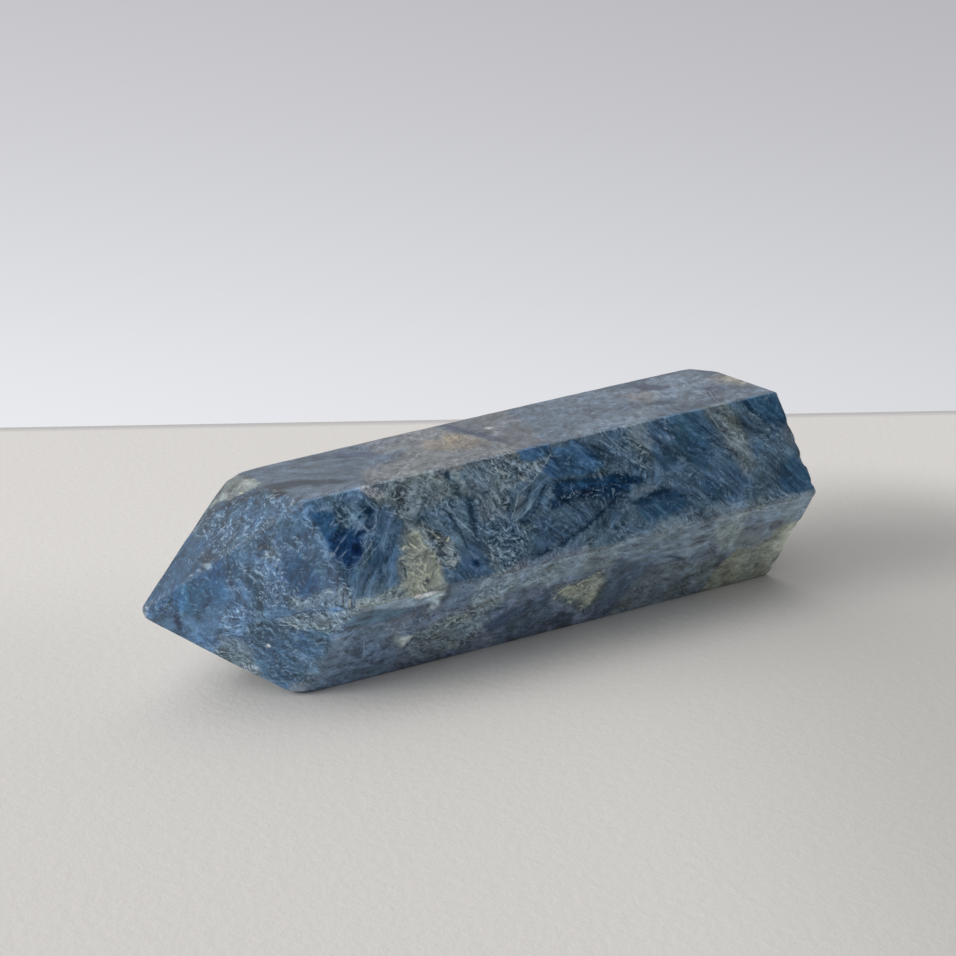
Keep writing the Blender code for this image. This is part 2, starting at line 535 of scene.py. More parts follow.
UPPER_FRONT = (
    # grey-green ground between the window and the blades
    body(ASH, (-24.6, 5.4), (-23.4, 2.2), (-21.4, 0.6), (-18.6, 0.4), (-15.8, 1.2), (-14.6, 3.0),
         (-14.8, 5.4), shade=1.13, crinkle=0.55, fibre=0.5, flow=RISE, soft=0.8),
    body(TEAL, (-19.8, 0.8), (-16.0, 1.9), (-13.4, 1.6), (-13.4, -2.0), (-14.4, -3.4), (-16.2, -3.6),
         (-17.6, -2.4), shade=1.29, crinkle=0.30, fibre=0.7, flow=FALL, soft=0.8),
    body(SLATE, (-18.8, -4.4), (-17.0, -3.0), (-15.4, -3.2), (-13.6, -2.8), (-12.9, -4.8), (-13.0, -7.4),
         (-18.9, -7.4), shade=0.74, crinkle=0.2, fibre=0.6, flow=FALL, soft=0.7),
    # the deep window
    body(SLATE, (-31.6, 5.2), (-28.6, 5.2), (-26.0, 4.9), (-24.2, 3.9), (-23.6, 2.4), (-24.0, 0.6),
         (-25.7, -1.2), (-26.9, -2.9), (-28.3, -3.0), (-29.6, -3.8), (-30.4, -2.4), shade=0.84, crinkle=0.45, fibre=0.6,
         flow=RISE, soft=0.45),
    body(SLATE, (-31.4, 5.3), (-27.6, 5.3), (-25.2, 5.0), (-24.6, 3.8), (-26.6, 3.4), (-28.2, 3.0), (-30.8, 3.6), shade=0.95,
         amount=0.85, crinkle=0.40, fibre=0.6, flow=SLANT, soft=0.5),
    body(NAVY, (-31.0, 3.3), (-28.9, 3.1), (-28.5, 1.6), (-29.2, 0.4), (-30.5, 0.3), shade=1.90, amount=0.95, crinkle=0.10, fibre=0.4,
         flow=SLANT, soft=0.35),
    body(ROYAL, (-30.6, 0.6), (-28.4, 1.1), (-26.8, 0.8), (-25.9, 0.4), (-26.6, -0.4), (-26.8, -1.9), (-28.0, -2.6), (-29.5, -2.4),
         (-30.2, -1.2), shade=1.05, amount=0.95, crinkle=0.30, fibre=0.5, flow=RISE, soft=0.35),
    body(COBALT, (-28.3, -0.5), (-26.9, -0.6), (-27.0, -1.8), (-28.1, -1.6), shade=0.78, amount=0.9, crinkle=0.05, soft=0.3),
    body(SLATE, (-28.6, 2.6), (-26.6, 2.8), (-25.7, 2.3), (-25.9, 1.2), (-26.9, 1.1), (-28.4, 1.5), amount=0.8, crinkle=0.75,
         soft=0.3),
    body(NAVY, (-25.8, 3.0), (-24.3, 2.9), (-24.4, 1.6), (-24.9, 0.6), (-25.7, 0.6), (-25.5, 1.8), shade=1.13, amount=0.95, crinkle=0.15,
         soft=0.25),
    # brushed slate beside it
    body(SLATE, (-29.7, -3.7), (-27.4, -3.2), (-25.0, -0.4), (-23.6, 2.0), (-22.3, 2.6), (-21.8, 0.4),
         (-23.0, -2.0), (-24.0, -4.4), (-24.6, -5.6), (-27.5, -6.0), (-29.4, -7.2), shade=0.85, amount=0.95, crinkle=0.12, fibre=1.0,
         flow=RISE, soft=0.5),
    body(BLUE, (-26.9, -2.6), (-25.4, -0.8), (-24.2, 0.8), (-23.6, 0.4), (-24.8, -1.6), (-25.8, -3.8), amount=0.85,
         fibre=1.0, flow=RISE, soft=0.4),
    body(TEAL, (-29.6, -4.9), (-27.8, -4.3), (-26.0, -5.2), (-26.6, -6.4), (-29.3, -7.0), shade=1.37, crinkle=0.1, fibre=0.5,
         flow=RISE, soft=0.5),
    body(GREEN, (-29.4, -6.3), (-26.6, -6.1), (-24.4, -5.7), (-24.2, -7.6), (-29.4, -7.6), shade=1.06, crinkle=0.5, soft=0.35),
    # beige scar under the near top ridge
    body(HAZE, (-24.5, 5.4), (-23.6, 4.9), (-22.9, 3.7), (-23.3, 3.3), (-24.5, 3.8), (-25.2, 4.8), shade=0.74, crinkle=0.5,
         soft=0.4, amount=0.85),
    # the cream body
    body(GREEN, (-24.6, -7.4), (-24.1, -5.0), (-23.2, -2.4), (-22.0, -0.2), (-21.2, 0.7), (-20.4, -0.1),
         (-19.0, -1.5), (-18.5, -3.2), (-18.8, -5.2), (-19.7, -7.4), shade=0.83, flecks=0.55, crinkle=0.35, fibre=0.3, soft=0.4, depth=3.0),
    body(OLIVE, (-23.4, -7.4), (-23.2, -4.6), (-22.4, -2.6), (-21.2, -0.8), (-20.2, -1.0), (-19.2, -2.6),
         (-18.9, -4.6), (-19.6, -6.6), (-21.0, -7.4), shade=1.08, amount=0.85, flecks=1.0, crinkle=0.3, fibre=0.2, soft=0.7, depth=3.0),
    body(OLIVE, (-23.8, -6.0), (-22.8, -4.6), (-21.8, -4.9), (-21.6, -5.8), (-22.6, -6.4), shade=1.21, amount=0.85, flecks=0.3, soft=0.4),
    # bright crinkle over dark, right of the cream
    body(ASH, (-19.8, -0.4), (-18.3, -0.9), (-16.8, -2.6), (-16.6, -4.8), (-18.0, -5.6), (-19.0, -4.6), shade=1.19,
         crinkle=1.0, flecks=0.5, fibre=0.2, soft=0.4),
    body(SMOKE, (-18.9, -0.9), (-18.0, -1.3), (-17.2, -2.2), (-17.9, -2.6), (-18.9, -1.8), shade=0.68, amount=0.85, crinkle=0.8, soft=0.3),
    # dark plumes
    streak(NAVY, 0.75, (-13.4, 1.4), (-13.7, -0.4), (-14.1, -2.6), amount=0.65, soft=0.25),
    streak(NAVY, 0.5, (-16.6, 1.2), (-15.7, -1.0), (-14.7, -3.4), amount=0.35, soft=0.4),
    body(TEAL, (-15.2, 4.6), (-14.5, 4.7), (-14.3, 3.7), (-14.9, 3.4), shade=0.92, amount=0.85, soft=0.25, wobble=0.2),
    body(ROYAL, (-15.3, -4.9), (-14.5, -5.1), (-14.6, -6.0), (-15.4, -5.8), shade=0.77, amount=0.9, soft=0.3),
    body(GREEN, (-14.2, 4.9), (-12.9, 4.7), (-12.9, 1.6), (-13.7, 2.0), shade=0.92, amount=0.85, soft=0.5, fibre=0.7, flow=RISE),
    # crinkled grey-green, with loops below
    body(STEEL, (-12.9, 5.6), (-12.5, 1.2), (-12.7, -1.6), (-9.4, -1.4), (-8.8, 0.2), (-7.8, 1.8), (-6.2, 3.4),
         (-6.4, 5.6), shade=0.80, amount=0.85, crinkle=0.55, fibre=0.6, flow=FALL, soft=0.5),
    body(TEAL, (-12.9, -1.5), (-9.4, -1.5), (-7.8, -2.6), (-7.8, -4.3), (-9.6, -6.2), (-11.8, -6.6), (-13.0, -4.4), shade=1.09,
         crinkle=1.0, fibre=0.15, soft=0.45),
    body(TEAL, (-11.6, -2.2), (-9.8, -2.4), (-9.6, -4.2), (-11.4, -4.4), shade=1.07, amount=0.85, crinkle=1.0, soft=0.5),
    body(STEEL, (-13.2, -4.2), (-12.4, -5.4), (-11.8, -6.2), (-12.6, -6.6), (-13.3, -6.0), amount=0.85, crinkle=0.6, soft=0.3),
    body(STEEL, (-8.8, 4.2), (-5.6, 4.6), (-2.0, 3.8), (-3.2, 2.4), (-6.0, 1.7), (-7.9, 1.7), crinkle=1.0, flecks=0.3, fibre=0.3,
         flow=FALL, soft=0.4),
    # blue under the near top ridge
    body(LAPIS, (-5.8, 5.6), (-1.0, 5.9), (-1.8, 4.5), (-4.0, 3.7), (-5.4, 4.3), shade=1.05, crinkle=0.2, fibre=0.7, flow=FALL, soft=0.35),
    # the long pale blade and its dark edge
    body(TEAL, (-9.1, -2.5), (-8.3, -0.3), (-6.6, 1.3), (-3.2, 2.5), (-2.0, 2.0), (-3.2, 0.8),
         (-4.8, -0.6), (-7.3, -2.1), shade=1.13, crinkle=0.05, fibre=0.8, flow=SLANT, soft=0.2, wobble=0.12),
    body(STEEL, (-9.0, -2.3), (-8.2, -0.3), (-7.0, 0.9), (-6.4, 0.2), (-7.6, -1.2), (-8.3, -2.3), amount=0.85, fibre=0.5, crinkle=0.0,
         flow=SLANT, soft=0.25, wobble=0.12),
    streak(NAVY, 0.42, (-9.1, -2.7), (-7.3, -2.2), (-5.3, -1.0), (-4.1, 0.5), (-3.1, 1.6), amount=0.9),
    # navy knot in the middle of the face
    body(LAPIS, (-2.9, 2.6), (-1.0, 4.6), (2.0, 5.2), (4.4, 3.6), (5.0, 2.0), (3.4, 1.4), (1.0, 1.4), (-1.9, 1.6),
         crinkle=0.35, fibre=0.6, flow=FALL, soft=0.4),
    body(BLUE, (-1.4, 3.9), (0.3, 4.4), (1.6, 3.4), (0.4, 2.2), (-1.4, 2.0), shade=0.85, amount=0.85, crinkle=0.3, soft=0.4),
    body(NAVY, (-2.0, 1.2), (0.3, 1.1), (3.7, 0.8), (6.0, 0.9), (9.9, -0.8), (6.8, -1.5), (4.2, -2.2), (1.2, -1.3),
         (-2.2, -1.7), (-4.8, -1.4), (-3.0, -0.3), shade=1.08, crinkle=0.4, fibre=0.5, flow=FALL, soft=0.3),
    body(NAVY, (-1.6, 0.8), (0.2, 0.85), (4.2, 0.3), (4.4, -0.3), (1.0, 0.0), (-1.2, 0.0), shade=1.60, amount=1.0, crinkle=0.1, soft=0.2),
    body(DEEP, (-0.4, -0.2), (2.2, -0.2), (2.4, -1.0), (0.4, -1.0), shade=0.90, amount=0.85, crinkle=0.8, soft=0.25, fibre=0.2),
    body(DEEP, (4.6, 0.5), (7.4, 0.0), (8.8, -0.8), (6.6, -1.1), (4.8, -0.5), shade=1.53, amount=0.85, crinkle=0.3, soft=0.3),
    # teal lens below the knot
    body(SLATE, (-4.8, -1.6), (-1.6, -1.9), (1.0, -1.6), (3.4, -2.3), (0.2, -4.0), (-3.0, -5.1), (-6.2, -5.6),
         (-7.8, -4.6), (-7.4, -2.8), shade=0.72, crinkle=0.28, fibre=0.8, flow=FALL, soft=0.3),
    streak(NAVY, 0.5, (-7.6, -6.2), (-4.0, -5.5), (-0.5, -4.4), (1.8, -3.4), (4.2, -2.4), (6.6, -1.7), amount=0.95,
           soft=0.2, wobble=0.2),
    body(TEAL, (-1.0, -7.0), (0.4, -5.6), (2.0, -4.5), (4.0, -3.4), (6.0, -2.7), (6.6, -3.3), (5.6, -4.7),
         (4.6, -5.8), (4.0, -7.0), shade=1.05, crinkle=0.35, fibre=0.5, flow=SLANT, soft=0.35),
    body(BLUE, (6.6, -3.6), (10.0, -3.6), (13.6, -2.8), (14.4, -4.4), (11.0, -5.3), (7.6, -5.4), crinkle=0.15, fibre=0.6,
         flow=FALL, soft=0.5),
    body(TEAL, (6.4, -2.3), (7.4, -1.1), (9.5, -1.0), (12.4, -0.8), (12.8, -1.5), (10.0, -2.1), (7.4, -2.6), shade=1.32, fibre=0.5,
         crinkle=0.1, flow=SLANT, soft=0.2),
    body(STEEL, (6.6, -2.2), (7.5, -1.3), (9.4, -1.3), (10.4, -1.7), (8.2, -2.2), amount=0.85, fibre=0.5, crinkle=0.1,
         flow=SLANT, soft=0.25),
    body(NAVY, (6.0, -2.7), (8.0, -2.6), (11.0, -2.2), (13.4, -2.4), (12.6, -3.2), (9.0, -3.6), (6.8, -3.4), shade=1.26, amount=0.85,
         crinkle=0.1, fibre=0.4, flow=SLANT, soft=0.25),
    # grey-green patch with falling streaks
    body(TEAL, (5.4, 6.4), (12.6, 6.6), (12.6, 3.4), (11.7, 1.0), (10.6, -0.4), (9.0, 0.5), (7.3, 2.3), (5.8, 3.6),
         crinkle=0.45, fibre=0.9, flow=FALL, soft=0.35),
    body(STEEL, (8.4, 6.4), (12.2, 6.4), (12.2, 3.8), (11.0, 1.6), (9.8, 2.6), (8.8, 4.4), shade=0.97, amount=0.85, crinkle=0.35, fibre=0.8,
         flow=FALL, soft=0.6),
    # broad blue to the right
    body(SLATE, (12.8, 6.6), (20.6, 6.8), (21.0, 3.0), (21.8, 0.0), (23.0, -3.5), (21.0, -5.2), (14.0, -5.2),
         (12.8, -2.0), (11.6, 0.7), shade=0.80, crinkle=0.16, fibre=0.75, flow=FALL, soft=0.5),
    body(BLUE, (15.6, 6.6), (19.6, 6.6), (20.2, 3.0), (19.4, 0.0), (17.6, -1.4), (15.6, 0.4), (14.8, 3.0), shade=1.08, amount=0.85,
         fibre=0.7, flow=FALL, soft=0.9),
    body(BLUE, (11.3, 2.2), (13.6, 2.0), (14.8, 0.6), (12.4, -0.1), shade=0.81, amount=0.85, soft=0.4, fibre=0.6, flow=FALL),
    body(BLUE, (16.4, -1.8), (18.4, -2.0), (19.0, -4.2), (17.2, -4.8), shade=0.89, amount=0.85, soft=0.5, fibre=0.6, flow=FALL),
    body(SLATE, (20.0, -2.8), (21.4, -3.0), (21.8, -4.2), (20.4, -4.2), shade=0.63, amount=0.85, soft=0.4),
    # the beige band that climbs through the blue
    body(STEEL, (20.6, 6.8), (24.0, 6.9), (25.0, 3.5), (25.6, 1.0), (25.4, -1.6), (24.0, -3.6), (22.8, -2.4),
         (22.3, 0.2), (21.3, 2.8), shade=0.74, fibre=0.9, crinkle=0.2, flow=FALL, soft=0.45),
    body(ASH, (21.8, 6.8), (23.8, 6.9), (24.7, 3.5), (25.0, 1.0), (24.6, -1.4), (23.6, -2.0), (23.0, 0.2), (22.2, 3.0), shade=1.18, fibre=0.9,
         amount=0.85, crinkle=0.3, flow=FALL, soft=0.4),
    body(GREEN, (22.6, 4.8), (24.0, 4.8), (24.8, 2.2), (24.2, 0.8), (23.2, 1.6), amount=0.85, fibre=0.6, crinkle=0.4, flow=FALL,
         soft=0.4),
    body(TEAL, (24.4, 6.9), (27.2, 6.9), (28.2, 3.6), (27.0, 1.6), (25.6, 1.8), (25.2, 4.0), fibre=0.6, crinkle=0.15, flow=FALL,
         soft=0.4),
    body(BLUE, (25.6, 6.9), (32.4, 7.0), (32.6, 1.8), (30.4, 2.2), (28.6, 3.0), (27.0, 4.6), shade=0.85, fibre=0.6, crinkle=0.15, flow=FALL,
         soft=0.35),
    body(BLUE, (27.6, 6.2), (31.6, 6.4), (31.8, 3.0), (29.8, 3.4), shade=1.16, amount=0.85, fibre=0.4, flow=FALL, soft=0.6),
    body(TEAL, (25.4, 1.0), (28.2, 2.0), (31.0, 0.6), (31.6, -1.5), (29.0, -2.0), (27.0, -3.4), (25.0, -5.6),
         (22.5, -5.4), (23.4, -3.2), (25.0, -1.6), shade=1.11, amount=0.85, fibre=0.7, crinkle=0.2, flow=FALL, soft=0.6),
    body(IRON, (31.0, 2.2), (32.8, 1.8), (32.8, -1.4), (31.2, -0.8), (30.4, 0.6), shade=1.13, amount=0.85, fibre=0.4, soft=0.5),
    body(BLUE, (27.6, -4.4), (28.7, -2.3), (31.0, -1.9), (32.8, -2.2), (32.8, -6.2), (28.0, -6.1), amount=0.85, fibre=0.5,
         crinkle=0.1, flow=FALL, soft=0.4),
    # pale ground along the ridge below
    body(STEEL, (7.6, -7.4), (8.6, -5.7), (12.0, -5.5), (16.0, -5.6), (21.0, -5.4), (27.0, -6.0), (32.0, -6.4),
         (32.6, -7.4), shade=0.90, amount=0.85, crinkle=0.4, fibre=0.4, flow=FALL, soft=0.45),
    body(IRON, (-12.6, -7.4), (-11.6, -6.3), (-8.0, -6.0), (-2.0, -6.1), (0.0, -7.4), shade=1.18, amount=0.85, crinkle=0.4, soft=0.4),
)

LOWER_FRONT = (
    body(STEEL, (-15.4, 7.6), (-9.8, 7.6), (-9.6, 3.0), (-12.6, 1.6), (-15.4, 2.4), shade=1.04, amount=0.9, crinkle=0.6, fibre=0.4,
         flow=RISE, soft=0.7),
    body(ASH, (-1.4, 8.0), (4.2, 8.2), (4.2, 3.2), (0.6, 2.8), (-1.6, 2.2), shade=1.05, amount=0.9, crinkle=0.2, fibre=0.6,
         flow=LONG, soft=0.7),
    body(STEEL, (-29.8, 7.2), (-19.8, 7.4), (-20.0, 4.2), (-24.0, 4.6), (-27.0, 5.0), (-30.0, 5.4), shade=1.14, amount=0.85, crinkle=0.15,
         fibre=0.6, flow=LONG, soft=0.5),
    body(TEAL, (-30.4, 4.9), (-27.0, 4.9), (-24.4, 4.5), (-22.6, 4.0), (-25.0, 3.0), (-28.0, 3.1), (-30.6, 3.4),
         crinkle=0.05, fibre=0.6, flow=LONG, soft=0.35),
    body(BEIGE, (-24.8, 7.4), (-20.0, 7.4), (-20.4, 5.9), (-22.0, 5.6), (-24.2, 6.0), shade=1.90, amount=0.85, crinkle=0.3, soft=0.4),
    body(GREEN, (-20.9, 7.2), (-19.0, 7.2), (-19.2, 3.0), (-20.4, 2.6), shade=1.14, amount=0.85, crinkle=0.2, soft=0.35),
    body(SMOKE, (-18.8, 6.8), (-14.6, 6.8), (-14.8, 2.6), (-18.4, 2.2), shade=1.58, amount=0.85, crinkle=0.2, fibre=0.5, flow=FALL, soft=0.6),
    body(SMOKE, (-31.0, 2.4), (-25.5, 2.6), (-24.6, 0.2), (-22.4, -2.4), (-21.2, -4.8), (-22.6, -7.2),
         (-33.4, -7.2), (-32.4, -1.0), shade=1.60, crinkle=0.12, fibre=0.9, flow=FALL, soft=0.6),
    body(SMOKE, (-29.2, 2.2), (-27.8, 1.6), (-26.6, -1.8), (-25.4, -5.0), (-26.4, -5.2), (-28.0, -1.4), shade=1.21, amount=0.85, fibre=0.9,
         flow=FALL, soft=0.35),
    body(ASH, (-21.2, -0.6), (-18.0, 1.2), (-15.0, 1.6), (-12.6, 2.2), (-11.6, -4.2), (-16.0, -5.4), (-20.4, -4.4),
         amount=0.9, crinkle=0.75, fibre=0.2, soft=0.6),
    body(ASH, (-17.2, 0.8), (-13.8, 1.6), (-11.4, -0.6), (-12.2, -4.2), (-15.4, -4.9), (-16.4, -2.2), shade=1.13, amount=0.85,
         crinkle=0.7, flecks=0.25, fibre=0.2, soft=0.8),
    body(ASH, (-13.4, 2.8), (-11.0, 2.6), (-10.4, 1.0), (-12.2, 0.6), shade=1.18, amount=0.85, crinkle=0.5, soft=0.5),
    body(INK, (-11.0, -3.0), (-10.0, -0.8), (-7.6, 0.2), (-6.6, -0.4), (-8.0, -2.4), (-10.0, -3.6), shade=1.08, amount=0.85, fibre=0.4,
         flow=SLANT, soft=0.4),
    body(SMOKE, (-7.0, 0.6), (-3.8, 1.8), (-3.4, -0.4), (-1.6, -2.8), (-1.8, -7.2), (-9.0, -7.2), (-9.0, -4.0), shade=1.12, amount=0.85,
         fibre=0.6, crinkle=0.15, flow=FALL, soft=0.7),
    body(STEEL, (-10.6, 7.6), (-0.6, 7.6), (-1.0, 3.6), (-4.6, 2.4), (-9.6, 3.2), shade=1.07, amount=0.85, crinkle=0.35, fibre=0.5,
         flow=SLANT, soft=0.8),
    # the cream body near the middle
    body(ASH, (-3.8, 1.8), (-0.4, 2.0), (0.5, 2.8), (2.4, 3.0), (4.0, 1.2), (4.4, -1.2), (3.6, -4.0), (1.8, -3.6),
         (0.4, -2.5), (-1.2, -1.2), (-3.0, -0.2), shade=0.81, flecks=0.5, crinkle=0.4, fibre=0.3, flow=RISE, soft=0.4),
    body(OLIVE, (-2.8, 1.2), (0.0, 1.4), (1.6, 2.4), (3.2, 1.2), (3.6, -1.6), (3.0, -3.2), (1.6, -1.8), (0.0, -1.0),
         (-2.0, 0.0), amount=0.85, flecks=0.8, crinkle=0.3, fibre=0.2, flow=RISE, soft=0.6),
    body(SMOKE, (-1.0, -2.6), (1.4, -3.6), (2.4, -6.8), (-0.6, -6.8), (-1.8, -4.4), shade=0.80, amount=0.85, fibre=0.7, flow=FALL, soft=0.4),
    body(SMOKE, (3.8, 3.6), (9.2, 4.0), (9.8, -0.6), (8.0, -4.4), (4.6, -5.6), (4.0, -2.0), shade=1.22, amount=0.85, fibre=0.5,
         crinkle=0.1, flow=RISE, soft=0.6),
    body(STEEL, (2.0, 8.0), (18.0, 8.6), (17.6, 3.4), (15.6, 0.8), (11.0, 2.0), (6.0, 3.6), (3.0, 5.0), shade=0.96, amount=0.85, fibre=0.9,
         crinkle=0.12, flow=LONG, soft=0.8),
    streak(INK, 0.7, (3.4, 5.2), (8.0, 3.8), (12.6, 2.4), (15.8, 0.8), amount=0.6, soft=0.4),
    streak(INK, 0.5, (4.0, 6.6), (9.0, 5.4), (13.0, 4.2), amount=0.45, soft=0.35),
    body(GREEN, (16.8, 8.4), (21.8, 8.6), (22.6, 4.2), (25.2, 2.4), (22.4, 0.4), (18.8, 2.6), (17.6, 5.0), shade=0.91, amount=0.85,
         fibre=0.4, crinkle=0.15, flow=RISE, soft=0.7),
    body(STEEL, (21.8, 8.6), (32.6, 9.0), (32.8, 3.6), (29.6, 3.2), (27.6, 4.8), (23.6, 5.0), amount=0.9, fibre=0.4, flow=LONG,
         soft=0.5),
    body(ASH, (22.2, 4.8), (27.6, 4.6), (28.6, 1.6), (25.8, 0.2), (22.6, 1.6), shade=0.97, amount=0.85, fibre=0.4, soft=0.6),
    # olive, clearer end
    body(OLIVE, (28.6, 3.0), (32.8, 3.6), (32.8, -7.0), (21.0, -7.0), (21.6, -2.0), (23.4, 0.8), (26.4, 0.4),
         (28.2, 1.6), shade=0.81, flecks=0.12, crinkle=0.1, fibre=0.3, flow=FALL, soft=0.5, depth=3.4),
    body(OLIVE, (29.6, 3.0), (32.8, 3.4), (32.8, -2.6), (30.4, -1.8), (29.4, 0.6), shade=1.18, amount=0.85, soft=0.5, depth=3.4),
    body(OLIVE, (25.2, -1.0), (28.2, -0.6), (28.8, -3.8), (26.4, -5.2), (24.8, -3.6), shade=0.85, amount=0.85, crinkle=0.3, soft=0.5),
    body(ASH, (8.8, -0.8), (12.0, 1.2), (16.0, 0.6), (21.0, 0.2), (21.4, -7.0), (6.0, -7.0), (7.6, -4.6), shade=0.95, amount=0.85,
         crinkle=0.2, fibre=0.5, flow=FALL, soft=0.7),
    body(ASH, (14.4, 0.4), (20.6, 0.2), (21.2, -3.6), (18.6, -4.4), (16.0, -2.0), shade=1.05, amount=0.85, crinkle=0.2, fibre=0.5,
         flow=FALL, soft=0.7),
    body(ASH, (15.0, -2.4), (18.0, -1.8), (18.6, -5.6), (14.4, -5.4), shade=0.74, amount=0.85, fibre=0.4, flow=FALL, soft=0.5),
    # the small pale triangle, with its broken ends
    body(GREEN, (-23.8, -0.1), (-20.7, -0.7), (-21.8, -2.6), (-22.3, -2.1), shade=0.77, soft=0.12, wobble=0.1, crinkle=0.0, fibre=0.1,
         depth=1.0),
    body(BEIGE, (-22.7, -0.6), (-20.9, -0.8), (-21.9, -2.3), shade=0.75, amount=0.85, soft=0.2, wobble=0.1, depth=1.0),
)

TOP = (
    body(HAZE, (-6.6, 7.0), (0.0, 7.2), (2.5, 6.8), (1.0, 1.0), (-1.5, -5.8), (-5.4, -5.9), (-5.4, -1.0), shade=0.85, amount=0.9,
         crinkle=0.2, fibre=0.5, flow=RISE, soft=0.8),
    body(MIST, (-34.4, 6.0), (-22.0, 6.9), (-17.8, 3.2), (-17.6, 0.4), (-20.4, -1.0), (-24.0, -3.6), (-32.0, -3.6), shade=1.03,
         amount=0.85, crinkle=0.15, fibre=0.8, flow=DIP, soft=0.8),
    body(DUSK, (-23.8, 5.6), (-20.6, 5.0), (-17.7, 2.9), (-17.7, 1.9), (-19.4, 2.3), (-21.8, 3.6), (-24.6, 4.9), shade=1.09, amount=0.85,
         crinkle=0.1, fibre=0.7, flow=DIP, soft=0.4),
    body(IRON, (-32.8, 1.4), (-29.0, 0.8), (-26.0, -1.4), (-24.2, -2.6), (-26.0, -3.0), (-29.0, -1.4), (-32.4, -0.8), shade=0.93, amount=0.8,
         crinkle=0.1, fibre=0.6, flow=DIP, soft=0.6),
    body(MIST, (-31.6, -2.2), (-27.0, -2.6), (-25.0, -4.0), (-25.2, -5.8), (-31.4, -5.8), shade=1.12, amount=0.85, crinkle=0.3, soft=0.6),
    body(DOVE, (-24.6, -5.9), (-22.2, -1.2), (-17.0, 0.2), (-14.4, 1.8), (-13.4, 6.9), (-8.0, 6.9), (-6.2, 0.0),
         (-4.8, -3.0), (-4.6, -6.0), amount=0.85, crinkle=0.3, fibre=0.5, flow=RISE, soft=0.7),
    body(HAZE, (-17.6, 2.0), (-14.6, 2.0), (-13.6, 6.9), (-18.0, 6.9), shade=0.97, amount=0.85, crinkle=0.3, soft=0.6),
    body(SAND, (-12.8, 0.8), (-11.6, 3.4), (-9.8, 2.2), (-8.4, 4.2), (-6.9, 2.8), (-6.2, 0.2), (-5.9, -1.7), (-9.0, -1.9),
         (-11.8, -0.8), shade=0.95, amount=0.36, flecks=0.15, crinkle=0.4, fibre=0.3, flow=RISE, soft=0.9, wobble=0.6),
    body(SAND, (-9.8, 1.6), (-8.6, 3.4), (-7.4, 1.6), (-8.6, 0.4), shade=0.98, amount=0.36, soft=0.6),
    streak(DUSK, 1.3, (-6.7, 6.9), (-5.9, 3.0), (-5.2, 0.6), (-4.5, -3.4), amount=0.7, soft=0.6),
    body(PALE, (-3.6, 2.9), (-2.8, 2.9), (-2.8, 2.2), (-3.6, 2.2), amount=0.6, soft=0.25, wobble=0.3),
    body(HAZE, (-4.2, 0.0), (-2.4, 1.8), (-0.4, 2.8), (1.2, 2.2), (0.8, 3.8), (-1.6, 3.0), (-3.8, 1.2), shade=1.11, amount=0.85,
         crinkle=0.6, flecks=0.3, soft=0.4),
    body(MIST, (2.0, 7.2), (16.0, 7.6), (16.4, 2.0), (12.0, -2.0), (4.0, -5.8), (-2.0, -5.8), (0.6, 1.0), shade=1.12, amount=0.60,
         crinkle=0.25, fibre=0.8, flow=RISE, soft=1.2),
    body(HAZE, (16.4, 3.4), (19.6, 2.8), (20.0, 0.4), (17.4, -0.8), (16.0, 1.0), crinkle=0.1, fibre=0.3, soft=0.6),
    body(DUSK, (19.4, 5.6), (21.4, 5.2), (23.0, 2.9), (21.6, 1.8), (19.6, 3.4), amount=0.85, fibre=0.5, flow=RISE, soft=0.5),
    body(MIST, (16.6, -0.6), (19.4, -1.4), (19.8, -2.8), (17.4, -2.2), shade=0.76, amount=0.85, soft=0.5),
    body(DUSK, (25.8, -0.3), (27.6, 0.0), (28.0, -1.7), (26.0, -2.4), shade=1.05, amount=0.85, soft=0.4),
    streak(STEEL, 0.5, (23.4, -5.6), (24.6, -3.2), (26.4, -0.4), amount=0.7, soft=0.3),
    body(DOVE, (29.0, 3.0), (31.8, 3.6), (32.8, -2.2), (30.4, -2.0), (28.8, 0.2), amount=0.85, crinkle=0.3, flecks=0.2,
         soft=0.5),
    body(CREAM, (30.0, 2.2), (32.2, 1.8), (32.6, -1.4), (30.8, -1.2), shade=0.96, amount=0.85, crinkle=0.3, flecks=0.2, soft=0.5),
)

TIP_TOP = (
    body(AZURE, (-39.8, 0.2), (-31.0, 4.6), (-30.0, 1.6), (-33.0, -2.4), amount=0.85, crinkle=0.15, fibre=0.6, flow=SLANT, soft=0.9),
    body(AZURE, (-30.6, 3.6), (-26.0, 4.0), (-22.6, 1.6), (-21.0, -3.0), (-26.0, -3.4), (-31.0, -2.0), shade=1.10, amount=0.85, crinkle=0.7,
         fibre=0.6, flow=SLANT, soft=0.9),
    body(BEIGE, (-26.8, 5.4), (-23.4, 7.6), (-21.6, 7.0), (-21.4, 3.4), (-24.0, 5.2), shade=1.06, amount=0.85, crinkle=0.2, soft=0.35),
    body(BEIGE, (-27.0, 5.4), (-25.2, 5.3), (-23.6, 4.7), (-22.0, 4.6), (-21.6, 2.7), (-22.8, 2.8), (-24.4, 3.7),
         (-26.2, 4.6), shade=1.35, crinkle=0.15, flecks=0.3, soft=0.3, wobble=0.4),
    streak(BLUE, 0.6, (-27.4, 4.1), (-24.8, 2.8), (-22.4, 1.5), amount=0.75, soft=0.3),
    body(STEEL, (-22.6, 0.8), (-21.6, 0.8), (-21.2, -0.9), (-22.0, -0.5), shade=0.60, amount=0.9, soft=0.2),
    body(MIST, (-22.0, -2.5), (-20.8, -2.5), (-20.4, -4.2), (-21.6, -3.9), amount=0.85, crinkle=0.4, soft=0.3),
)

